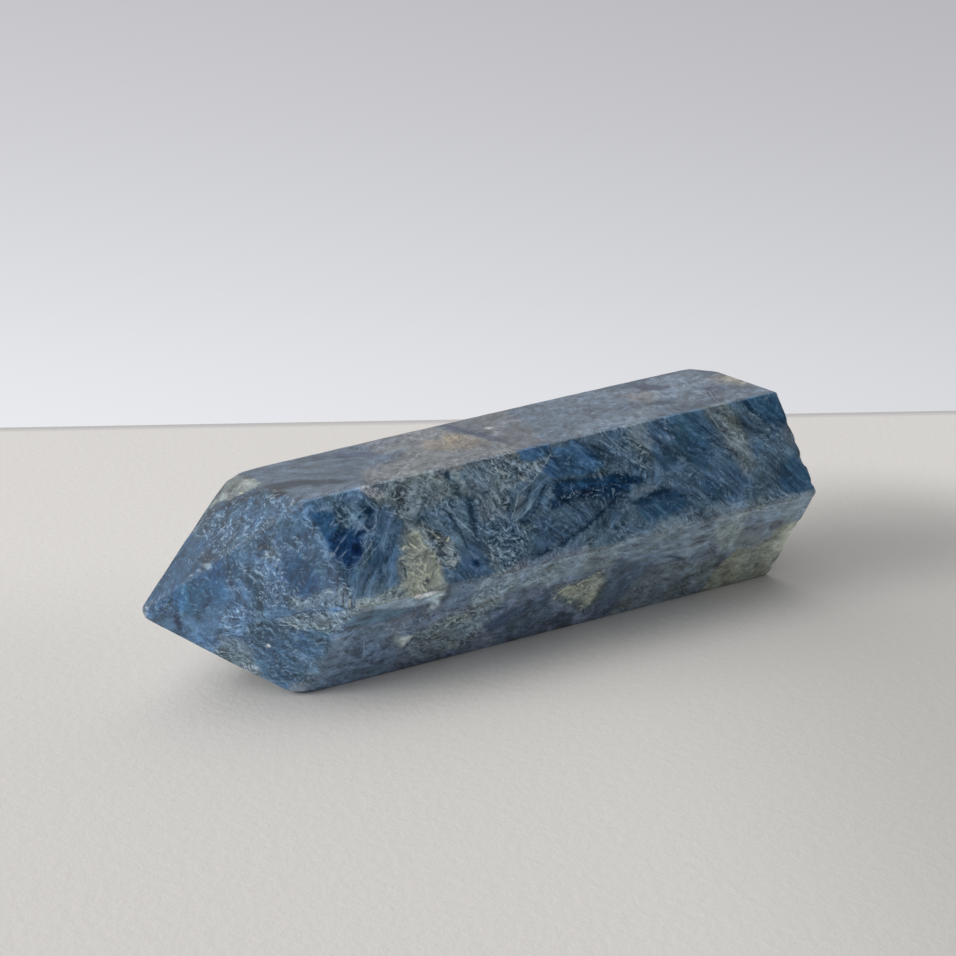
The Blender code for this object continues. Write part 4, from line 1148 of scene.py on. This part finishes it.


# ===========================================================================
# Material: fibres, veins with painted glints and painted shade, and flecks over the laid-out colours
# ===========================================================================
class Nodes:
    """Short names for the shader nodes that the material is written in."""

    def __init__(self, tree):
        self.tree = tree

    def new(self, kind, **settings):
        node = self.tree.nodes.new(kind)
        for key, value in settings.items():
            setattr(node, key, value)
        return node

    def put(self, socket, value):
        if isinstance(value, bpy.types.NodeSocket):
            self.tree.links.new(value, socket)
        else:
            socket.default_value = value

    def math(self, operation, *values, clamp=False):
        node = self.new("ShaderNodeMath", operation=operation, use_clamp=clamp)
        for socket, value in zip(node.inputs, values):
            self.put(socket, value)
        return node.outputs[0]

    def vector(self, operation, *values):
        node = self.new("ShaderNodeVectorMath", operation=operation)
        for socket, value in zip(node.inputs, values):
            self.put(socket, value)
        return node.outputs[0]

    def scaled(self, vector, size):
        node = self.new("ShaderNodeVectorMath", operation="SCALE")
        self.put(node.inputs[0], vector)
        self.put(node.inputs["Scale"], size)
        return node.outputs[0]

    def step(self, low, high, value, low_out=0.0, high_out=1.0):
        node = self.new("ShaderNodeMapRange", interpolation_type="SMOOTHSTEP")
        for name, v in (("Value", value), ("From Min", low), ("From Max", high),
                        ("To Min", low_out), ("To Max", high_out)):
            self.put(node.inputs[name], v)
        return node.outputs[0]

    def noise(self, vector, scale, detail=2.0, roughness=0.5, distortion=0.0, colour=False):
        node = self.new("ShaderNodeTexNoise", noise_dimensions="3D")
        self.put(node.inputs["Vector"], vector)
        node.inputs["Scale"].default_value = scale
        node.inputs["Detail"].default_value = detail
        node.inputs["Roughness"].default_value = roughness
        node.inputs["Distortion"].default_value = distortion
        return node.outputs["Color" if colour else "Fac"]

    def cells(self, vector, scale, feature="F1", randomness=1.0):
        node = self.new("ShaderNodeTexVoronoi", feature=feature)
        self.put(node.inputs["Vector"], vector)
        node.inputs["Scale"].default_value = scale
        node.inputs["Randomness"].default_value = randomness
        return node

    def combine(self, x, y, z):
        node = self.new("ShaderNodeCombineXYZ")
        for socket, value in zip(node.inputs, (x, y, z)):
            self.put(socket, value)
        return node.outputs[0]


def pick(sockets, kind, name):
    """A Mix node has one socket of each name for every type it can mix."""
    return next(s for s in sockets if s.name == name and s.type == kind)




def kyanite_material():
    material = bpy.data.materials.new("kyanite")
    material.use_nodes = True
    tree = material.node_tree
    tree.nodes.clear()
    n = Nodes(tree)

    def mix(amount, one, two, blend="MIX"):
        node = n.new("ShaderNodeMix", data_type="RGBA", blend_type=blend, clamp_factor=True)
        n.put(pick(node.inputs, "VALUE", "Factor"), amount)
        n.put(pick(node.inputs, "RGBA", "A"), one)
        n.put(pick(node.inputs, "RGBA", "B"), two)
        return pick(node.outputs, "RGBA", "Result")

    def rgb(colour):
        return (*[float(c) for c in colour], 1.0)

    where = n.new("ShaderNodeTexCoord").outputs["Object"]
    place = n.scaled(where, 1.0 / MM)                       # millimetres

    def attribute(name):
        node = n.new("ShaderNodeAttribute", attribute_name=name, attribute_type="GEOMETRY")
        parts = n.new("ShaderNodeSeparateColor")
        tree.links.new(node.outputs["Color"], parts.inputs[0])
        return node.outputs["Color"], parts.outputs[0], parts.outputs[1], parts.outputs[2], node.outputs["Alpha"]

    tone_in, _, _, _, foot = attribute("tone")
    _, crinkle, fibre, flecks, worn = attribute("grain")
    _, rise, fall, lengthwise, slant = attribute("flow")

    def warped(vector, scale, amount, detail=2.0, shift=(0.0, 0.0, 0.0)):
        moved = n.vector("ADD", vector, shift)
        swirl = n.vector("SUBTRACT", n.noise(moved, scale, detail, colour=True), (0.5, 0.5, 0.5))
        return n.vector("ADD", vector, n.scaled(swirl, amount))

    gentle = warped(place, 0.16, 2.0)
    curly = warped(gentle, 0.62, 1.7, 1.0, (13.0, 5.0, 9.0))

    # ---- fibres, in the four directions that they run ----------------------
    def fibres(way, length, width, detail, shift):
        side = unit(np.cross(way, (0.0, 0.3, 1.0)))
        third = np.cross(way, side)
        turn = Matrix([way, side, third]).transposed().to_euler()
        node = n.new("ShaderNodeMapping", vector_type="TEXTURE")
        n.put(node.inputs["Vector"], gentle)
        node.inputs["Location"].default_value = shift
        node.inputs["Rotation"].default_value = turn
        node.inputs["Scale"].default_value = (length, width, width)
        return n.noise(node.outputs[0], 1.0, detail, 0.74)

    strand, weights = None, None
    for way, weight, shift in zip(FLOW_LIST, (rise, fall, lengthwise, slant),
                                  ((0, 0, 0), (31, 7, 3), (5, 41, 11), (17, 3, 23))):
        layer = n.math("MULTIPLY", fibres(way, 6.0, 0.85, 5.0, shift), weight)
        strand = layer if strand is None else n.math("ADD", strand, layer)
        weights = weight if weights is None else n.math("ADD", weights, weight)
    strand = n.math("DIVIDE", strand, n.math("MAXIMUM", weights, 0.001))
    bright_hair = n.step(0.55, 0.68, strand)
    dark_hair = n.step(0.46, 0.34, strand)

    # ---- crumpled veins: short bright strokes, partly pale vein and partly painted glint, each with a painted shade on one side ---
    def strokes(vector, scale, width, density):
        """Small plates set at random in the stone.  A face cuts each of them
        along a short line: bright on the plate, dark on one side of it."""
        cell = n.cells(vector, scale)
        colour = cell.outputs["Color"]
        parts = n.new("ShaderNodeSeparateColor")
        tree.links.new(colour, parts.inputs[0])
        spin = n.vector("NORMALIZE", n.vector("SUBTRACT", colour, (0.5, 0.5, 0.5)))
        offset = n.vector("SUBTRACT", vector, cell.outputs["Position"])
        node = n.new("ShaderNodeVectorMath", operation="DOT_PRODUCT")
        tree.links.new(offset, node.inputs[0])
        tree.links.new(spin, node.inputs[1])
        side = node.outputs["Value"]
        ends = n.step(0.62, 0.30, cell.outputs["Distance"])
        # colours that lie near the cell's own middle value are rare, so this
        # sum is even enough to thin the strokes out with
        chance = n.math("FRACT", n.math("MULTIPLY", n.math("ADD", parts.outputs[0], parts.outputs[1]), 7.31))
        on = n.math("MULTIPLY", ends, n.step(0.0, 0.25, n.math("SUBTRACT", density, chance)))
        bright = n.step(width, 0.25 * width, n.math("ABSOLUTE", side))
        shade = n.step(1.6 * width, 0.5 * width, n.math("ABSOLUTE", n.math("SUBTRACT", side, 1.9 * width)))
        power = n.math("MULTIPLY", on, n.math("ADD", 0.40, n.math("MULTIPLY", parts.outputs[2], 0.75)))
        return n.math("MULTIPLY", bright, power), n.math("MULTIPLY", shade, power)

    breaks = n.noise(n.vector("ADD", place, (3.0, 8.0, 27.0)), 0.45, 2.0, 0.55)
    density = n.math("ADD", n.math("MULTIPLY", crinkle, 1.05), n.math("MULTIPLY", n.math("SUBTRACT", breaks, 0.52), 1.3),
                     clamp=True)
    wild = warped(curly, 1.6, 0.55, 2.0, (7.0, 1.0, 4.0))
    # bright strokes: partly pale veins, partly painted glints off cleavage planes inside; the dark band: painted shade
    # beside them
    long_bright, long_dark = strokes(wild, 1.35, 0.085, density)

    # small folds, painted into the colour: the side that faces the light is a painted highlight, the other painted
    # shade
    def painted_fold_shading(vector, scale, detail, reach, gain):
        one = n.noise(n.vector("ADD", vector, tuple(reach * v for v in (0.30, -0.45, 0.84))), scale, detail, 0.55)
        two = n.noise(n.vector("ADD", vector, tuple(-reach * v for v in (0.30, -0.45, 0.84))), scale, detail, 0.55)
        return n.math("MULTIPLY", n.math("SUBTRACT", one, two), gain)

    painted_crumple_shading = painted_fold_shading(curly, 1.75, 2.5, 0.075, 5.0)
    lit = n.step(0.20, 0.75, painted_crumple_shading)
    shaded = n.step(-0.10, -0.65, painted_crumple_shading)
    ragged = n.noise(n.vector("ADD", place, (21.0, 33.0, 8.0)), 3.2, 2.0, 0.6)
    long_bright = n.math("MULTIPLY", long_bright, n.step(0.38, 0.56, ragged, 0.15, 1.0))
    # pale veins with painted glints, and the painted shade on their dark side
    veins_and_glints = n.math("MAXIMUM", n.math("MULTIPLY", long_bright, 0.85), n.math("MULTIPLY", lit, density))
    painted_vein_shade = n.math("MAXIMUM", n.math("MULTIPLY", long_dark, 0.7), n.math("MULTIPLY", shaded, density))

    # ---- flecks: pale angular grains in the cream bodies --------------------
    fleck_bright, fleck_dark = strokes(n.vector("ADD", warped(gentle, 0.9, 0.7, 1.0, (2.0, 9.0, 5.0)), (5.0, 17.0, 2.0)),
                                       1.0, 0.17, n.math("MULTIPLY", flecks, 1.25))

    def drawn(vector, strokes_drawn):
        """Nearness to listed strokes, each a chain of long thin grains."""
        best = None
        for face, width, *flat in strokes_drawn:
            normal, offset = (PRISM + TIP)[face]
            along, across = face_frame((normal, offset))
            points = [along * a + across * b + normal * offset + SHIFT for a, b in zip(flat[0::2], flat[1::2])]
            if best is not None:
                # leaning on the result so far keeps the strokes one after
                # another, which keeps the shader small enough to run
                vector = n.vector("MULTIPLY_ADD", n.combine(best, best, best), (1e-7, 1e-7, 1e-7), vector)
            for a, b in zip(points[:-1], points[1:]):
                length = np.linalg.norm(b - a)
                way = (b - a) / length
                side = np.cross(normal, way)
                node = n.new("ShaderNodeMapping", vector_type="TEXTURE")
                n.put(node.inputs["Vector"], vector)
                node.inputs["Location"].default_value = (a + b) / 2
                node.inputs["Rotation"].default_value = Matrix([way, side, normal]).transposed().to_euler()
                node.inputs["Scale"].default_value = (0.62 * length + 0.5 * width, 0.75 * width, 1.0)
                far = n.new("ShaderNodeVectorMath", operation="LENGTH")
                tree.links.new(node.outputs[0], far.inputs[0])
                best = far.outputs["Value"] if best is None else n.math("MINIMUM", best, far.outputs["Value"])
        return best

    # ---- colour -------------------------------------------------------------
    def grained(way, shift):
        side = unit(np.cross(way, (0.0, 0.3, 1.0)))
        node = n.new("ShaderNodeMapping", vector_type="TEXTURE")
        n.put(node.inputs["Vector"], gentle)
        node.inputs["Location"].default_value = shift
        node.inputs["Rotation"].default_value = Matrix([way, side, np.cross(way, side)]).transposed().to_euler()
        node.inputs["Scale"].default_value = (4.2, 1.5, 1.5)
        return n.noise(node.outputs[0], 1.0, 5.0, 0.66)

    # cloudy, drawn out along the fibres
    up, down = n.math("ADD", rise, slant), n.math("ADD", fall, lengthwise)
    share = n.math("DIVIDE", up, n.math("MAXIMUM", n.math("ADD", up, down), 0.001))
    mottle = mix(share, grained(unit(FLOW_LIST[1] + 0.35 * FLOW_LIST[2]), (50, 20, 10)),
                 grained(unit(FLOW_LIST[0] + 0.25 * FLOW_LIST[3]), (15, 60, 30)))
    drift = n.noise(n.vector("ADD", gentle, (5.0, 70.0, 30.0)), 0.34, 2.0, 0.55)
    swing = n.math("MULTIPLY", n.math("SUBTRACT", mottle, 0.5), n.math("ADD", 2.05, n.math("MULTIPLY", crinkle, 0.6)))
    brushed = n.math("MULTIPLY", fibre, n.step(0.34, 0.62, drift, 0.35, 1.0))
    streaks = n.math("MULTIPLY", n.math("SUBTRACT", strand, 0.5), n.math("ADD", 0.9, n.math("MULTIPLY", brushed, 2.6)))
    # the folds' painted highlight and painted shade go into the colour here, on top of the mottle and fibre streaks of
    # the tone
    painted_relief_shading = n.math("MULTIPLY", painted_crumple_shading, n.math("ADD", 0.10, n.math("MULTIPLY", density, 0.35)))
    light = n.math("ADD", swing, n.math("ADD", streaks, painted_relief_shading))
    light = n.math("MULTIPLY", n.math("POWER", n.math("MAXIMUM", n.math("ADD", 1.0, light), 0.12), 1.35), 0.97)
    colour = n.scaled(tone_in, light)
    # bluer here, greyer there
    tinge = n.step(0.0, 0.30, crinkle, 0.30, 0.70)
    colour = mix(n.math("MULTIPLY", n.step(0.50, 0.68, drift), tinge), colour,
                 n.vector("MULTIPLY", colour, (0.84, 0.97, 1.12)))
    colour = mix(n.math("MULTIPLY", n.step(0.48, 0.32, drift), tinge), colour,
                 n.vector("MULTIPLY", colour, (1.06, 1.05, 0.90)))
    # veins and hairs keep some of the hue of the body that they run through
    dark = n.vector("MULTIPLY_ADD", tone_in, (0.09, 0.13, 0.16), (0.004, 0.016, 0.030))
    pale = n.vector("MULTIPLY_ADD", tone_in, (1.20, 1.15, 1.10), (0.275, 0.340, 0.370))
    # fine hairs along the fibres
    colour = mix(n.math("MULTIPLY", dark_hair, n.math("MULTIPLY", brushed, 0.50)), colour, dark)
    colour = mix(n.math("MULTIPLY", bright_hair, n.math("MULTIPLY", brushed, 0.38)), colour, pale)
    # veins and painted glints, with the painted shade beside them that makes them stand out
    colour = mix(n.math("MULTIPLY", painted_vein_shade, 0.82), colour, dark)
    colour = mix(n.math("MULTIPLY", veins_and_glints, 0.78), colour, pale)
    colour = mix(n.math("MULTIPLY", fleck_dark, 0.35), colour, rgb((0.10, 0.13, 0.11)))
    colour = mix(n.math("MULTIPLY", fleck_bright, 0.75), colour, rgb((0.74, 0.77, 0.62)))
    # single strokes, ragged and uneven: dark ones, and pale ones that are partly veins and partly painted glints
    near = warped(place, 2.2, 0.34, 2.0, (4.0, 4.0, 9.0))
    uneven = n.step(0.34, 0.60, ragged, 0.35, 1.0)
    colour = mix(n.math("MULTIPLY", n.step(1.0, 0.35, drawn(near, DARK)), 0.72), colour, dark)
    near = n.vector("MULTIPLY_ADD", colour, (1e-7, 1e-7, 1e-7), near)
    colour = mix(n.math("MULTIPLY", n.math("MULTIPLY", n.step(1.0, 0.35, drawn(near, BRIGHT)), uneven), 0.62), colour,
                 mix(n.math("ADD", flecks, 0.0, clamp=True), pale, rgb((0.74, 0.77, 0.62))))
    # worn ridges and chips are paler, and so is the sawn foot
    colour = mix(n.math("MULTIPLY", worn, 0.22), colour, rgb((0.42, 0.52, 0.58)))
    colour = mix(n.math("MULTIPLY", foot, 0.30), colour, rgb((0.42, 0.48, 0.48)))

    # ---- gloss and relief ---------------------------------------------------
    rub = n.noise(n.vector("ADD", place, (90.0, 4.0, 60.0)), 0.9, 4.0, 0.65)
    rough = n.math("ADD", 0.13, n.math("MULTIPLY", n.math("SUBTRACT", rub, 0.5), 0.10))
    rough = n.math("ADD", rough, n.math("MULTIPLY", veins_and_glints, 0.18))
    rough = n.math("ADD", rough, n.math("MULTIPLY", fleck_bright, 0.12))
    rough = n.math("ADD", rough, n.math("MULTIPLY", worn, 0.22))
    rough = n.math("ADD", rough, n.math("MULTIPLY", foot, 0.42), clamp=True)

    pits = n.noise(place, 6.0, 3.0, 0.6)
    scratches = n.noise(n.vector("MULTIPLY", place, (0.6, 3.0, 3.0)), 2.0, 3.0, 0.6)
    saw = n.noise(n.vector("MULTIPLY", place, (2.0, 0.35, 3.0)), 2.6, 4.0, 0.65)
    height = n.math("ADD", n.math("MULTIPLY", pits, 0.010), n.math("MULTIPLY", scratches, 0.016))
    height = n.math("ADD", height, n.math("MULTIPLY", n.math("MULTIPLY", saw, foot), 0.16))
    height = n.math("ADD", height, n.math("MULTIPLY", n.math("MULTIPLY", pits, worn), 0.05))
    bump = n.new("ShaderNodeBump")
    bump.inputs["Strength"].default_value = 0.35
    bump.inputs["Distance"].default_value = MM
    n.put(bump.inputs["Height"], height)

    shader = n.new("ShaderNodeBsdfPrincipled")
    n.put(shader.inputs["Base Color"], colour)
    n.put(shader.inputs["Roughness"], rough)
    n.put(shader.inputs["Normal"], bump.outputs[0])
    shader.inputs["IOR"].default_value = 1.62
    shader.inputs["Metallic"].default_value = 0.0
    out = n.new("ShaderNodeOutputMaterial")
    tree.links.new(shader.outputs[0], out.inputs["Surface"])
    return material


STONE.data.materials.append(kyanite_material())
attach(STONE, "root")
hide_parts("kyanite_point")


# ===========================================================================
# A pale paper floor that ends at the foot of a pale, softly lit wall, with painted shade and a painted shadow on it
# ===========================================================================
WALL_FROM_ORIGIN = 89.4          # mm, along WALL_NORMAL, in the prism's frame
WALL_NORMAL = unit((0.525, 0.851, 0.0))
FLOOR_REACH = 1500.0


def floor_material():
    material = bpy.data.materials.new("paper_floor")
    material.use_nodes = True
    tree = material.node_tree
    n = Nodes(tree)
    shader = tree.nodes["Principled BSDF"]
    place = n.scaled(n.new("ShaderNodeTexCoord").outputs["Object"], 1.0 / MM)
    tooth = n.noise(place, 0.9, 3.0, 0.6)
    fuzz = n.noise(place, 3.2, 2.0, 0.5)
    bump = n.new("ShaderNodeBump")
    bump.inputs["Strength"].default_value = 0.30
    bump.inputs["Distance"].default_value = MM
    n.put(bump.inputs["Height"], n.math("ADD", n.math("MULTIPLY", tooth, 0.22), n.math("MULTIPLY", fuzz, 0.05)))
    n.put(shader.inputs["Normal"], bump.outputs[0])
    # a soft dark line where the paper meets the wall: a painted shadow along the joint
    split = n.new("ShaderNodeSeparateXYZ")
    n.put(split.inputs[0], place)
    edge = n.step(-3.6, -0.4, split.outputs[1])
    ramp = n.new("ShaderNodeMix", data_type="RGBA", clamp_factor=True)
    n.put(pick(ramp.inputs, "VALUE", "Factor"), n.math("MULTIPLY", edge, 0.55))
    pick(ramp.inputs, "RGBA", "A").default_value = (0.850, 0.818, 0.772, 1.0)
    pick(ramp.inputs, "RGBA", "B").default_value = (0.42, 0.42, 0.43, 1.0)
    # painted shade: the paper is coloured darker towards the camera and the right,
    # with a painted shadow patch to the right of the stone's foot
    across, out = split.outputs[0], split.outputs[1]
    near = n.math("MULTIPLY", n.step(-60.0, -105.0, out), 0.10)
    right = n.math("MULTIPLY", n.math("MULTIPLY", n.step(2.0, 42.0, across), n.step(-40.0, -78.0, out)), 0.17)
    spot = n.new("ShaderNodeVectorMath", operation="DISTANCE")
    n.put(spot.inputs[0], place)
    spot.inputs[1].default_value = (50.0, -58.0, 0.0)
    painted_floor_shadow = n.math("MULTIPLY", n.step(32.0, 4.0, spot.outputs["Value"]), 0.26)
    fall = n.math("SUBTRACT", 1.0, n.math("ADD", near, n.math("ADD", right, painted_floor_shadow)))
    n.put(shader.inputs["Base Color"], n.scaled(pick(ramp.outputs, "RGBA", "Result"), fall))
    shader.inputs["Roughness"].default_value = 0.92
    shader.inputs["Specular IOR Level"].default_value = 0.15
    return material


def make_floor():
    """A large sheet whose far edge is the foot of the wall."""
    edge = WALL_NORMAL * WALL_FROM_ORIGIN
    along = np.array((-WALL_NORMAL[1], WALL_NORMAL[0], 0.0))
    mesh = bpy.data.meshes.new("floor")
    reach = FLOOR_REACH * MM
    mesh.from_pydata(
        [(-reach, -reach, 0.0), (reach, -reach, 0.0), (reach, 0.0, 0.0), (-reach, 0.0, 0.0)], [], [(0, 1, 2, 3)]
    )
    floor = bpy.data.objects.new("floor", mesh)
    place = (edge + np.array((SHIFT[0], SHIFT[1], 0.0))) * MM
    floor.location = (place[0], place[1], -0.00002)
    floor.rotation_euler = (0.0, 0.0, math.atan2(-along[1], -along[0]))
    mesh.materials.append(floor_material())
    bpy.context.scene.collection.objects.link(floor)
    return floor


FLOOR = make_floor()

# ===========================================================================
# Light: a wide soft window behind and to the left, and the pale room
# ===========================================================================
def make_world():
    world = bpy.data.worlds.new("room")
    world.use_nodes = True
    tree = world.node_tree
    tree.nodes.clear()
    n = Nodes(tree)
    ray = n.new("ShaderNodeTexCoord").outputs["Generated"]
    split = n.new("ShaderNodeSeparateXYZ")
    n.put(split.inputs[0], ray)
    up = split.outputs[2]

    def towards(x, y, z=0.0):
        node = n.new("ShaderNodeVectorMath", operation="DOT_PRODUCT")
        n.put(node.inputs[0], ray)
        node.inputs[1].default_value = unit((x, y, z))
        return node.outputs["Value"]

    # wall brightness by height, seen from above: brightest at its foot
    wall = n.new("ShaderNodeValToRGB")
    wall.color_ramp.interpolation = "B_SPLINE"
    spots = ((-0.30, (0.79, 0.79, 0.825)), (-0.245, (0.77, 0.775, 0.81)), (-0.185, (0.69, 0.70, 0.735)),
             (-0.10, (0.58, 0.58, 0.61)), (0.0, (0.50, 0.50, 0.525)), (0.28, (0.36, 0.37, 0.41)),
             (0.60, (0.58, 0.59, 0.61)), (0.90, (1.02, 1.03, 1.05)), (1.0, (1.08, 1.08, 1.08)))
    ramp = wall.color_ramp
    while len(ramp.elements) > 1:
        ramp.elements.remove(ramp.elements[-1])
    ramp.elements[0].position = (spots[0][0] + 1) / 2
    ramp.elements[0].color = (*spots[0][1], 1.0)
    for height, colour in spots[1:]:
        stop = ramp.elements.new((height + 1) / 2)
        stop.color = (*colour, 1.0)
    n.put(wall.inputs[0], n.math("MULTIPLY", n.math("ADD", up, 1.0), 0.5))
    # brighter to the left of the picture, with a dark part of the room in
    # front and to the right, which the upper front facet mirrors
    side = n.math("ADD", 1.0, n.math("MULTIPLY", towards(-0.809, 0.588), 0.32))
    window = n.step(0.30, 0.95, towards(-0.93, -0.10, 0.36), 0.0, 0.8)
    dark = n.step(0.52, 0.93, towards(0.50, -0.60, 0.62), 1.0, 0.04)
    level = n.math("MULTIPLY", n.math("ADD", side, window), dark)
    colour = n.scaled(wall.outputs[0], level)
    back = n.new("ShaderNodeBackground")
    n.put(back.inputs["Color"], colour)
    back.inputs["Strength"].default_value = 1.0
    out = n.new("ShaderNodeOutputWorld")
    tree.links.new(back.outputs[0], out.inputs["Surface"])
    bpy.context.scene.world = world


def area_light(name, place, target, size, power, colour):
    light = bpy.data.lights.new(name, "AREA")
    light.shape = "RECTANGLE"
    light.size, light.size_y = size
    light.energy = power
    light.color = colour
    lamp = bpy.data.objects.new(name, light)
    lamp.location = place
    lamp.rotation_euler = (Vector(place) - Vector(target)).to_track_quat("Z", "Y").to_euler()
    bpy.context.scene.collection.objects.link(lamp)
    return lamp


make_world()
area_light("window", (-0.80, 0.22, 0.34), (0.0, 0.0, 0.0), (0.60, 0.40), 2.8, (1.0, 0.985, 0.96))


# ===========================================================================
# Camera: the one that the photo's edges solve to
# ===========================================================================
def make_camera():
    azimuth, height, roll = (math.radians(v) for v in (-35.9905, 16.1277, 0.0540))
    at = np.array((-123.215, -160.673, 63.617)) + SHIFT
    back = Vector((math.sin(azimuth) * math.cos(height), -math.cos(azimuth) * math.cos(height), math.sin(height)))
    right = Vector((0, 0, 1)).cross(back).normalized()
    above = back.cross(right)
    x = math.cos(roll) * right + math.sin(roll) * above
    y = -math.sin(roll) * right + math.cos(roll) * above
    camera = bpy.data.cameras.new("camera")
    camera.sensor_fit = "HORIZONTAL"
    camera.sensor_width = 36.0
    camera.lens = 71.548
    camera.clip_start, camera.clip_end = 0.01, 20.0
    camera.dof.use_dof = False
    rig = bpy.data.objects.new("camera", camera)
    turn = Matrix((x, y, back)).transposed().to_4x4()
    rig.matrix_world = Matrix.Translation(Vector(at * MM)) @ turn
    bpy.context.scene.collection.objects.link(rig)
    bpy.context.scene.camera = rig


make_camera()
bpy.context.scene.view_settings.view_transform = "Standard"
bpy.context.scene.view_settings.look = "None"
bpy.context.scene.view_settings.exposure = 0.0
bpy.context.scene.view_settings.gamma = 1.0
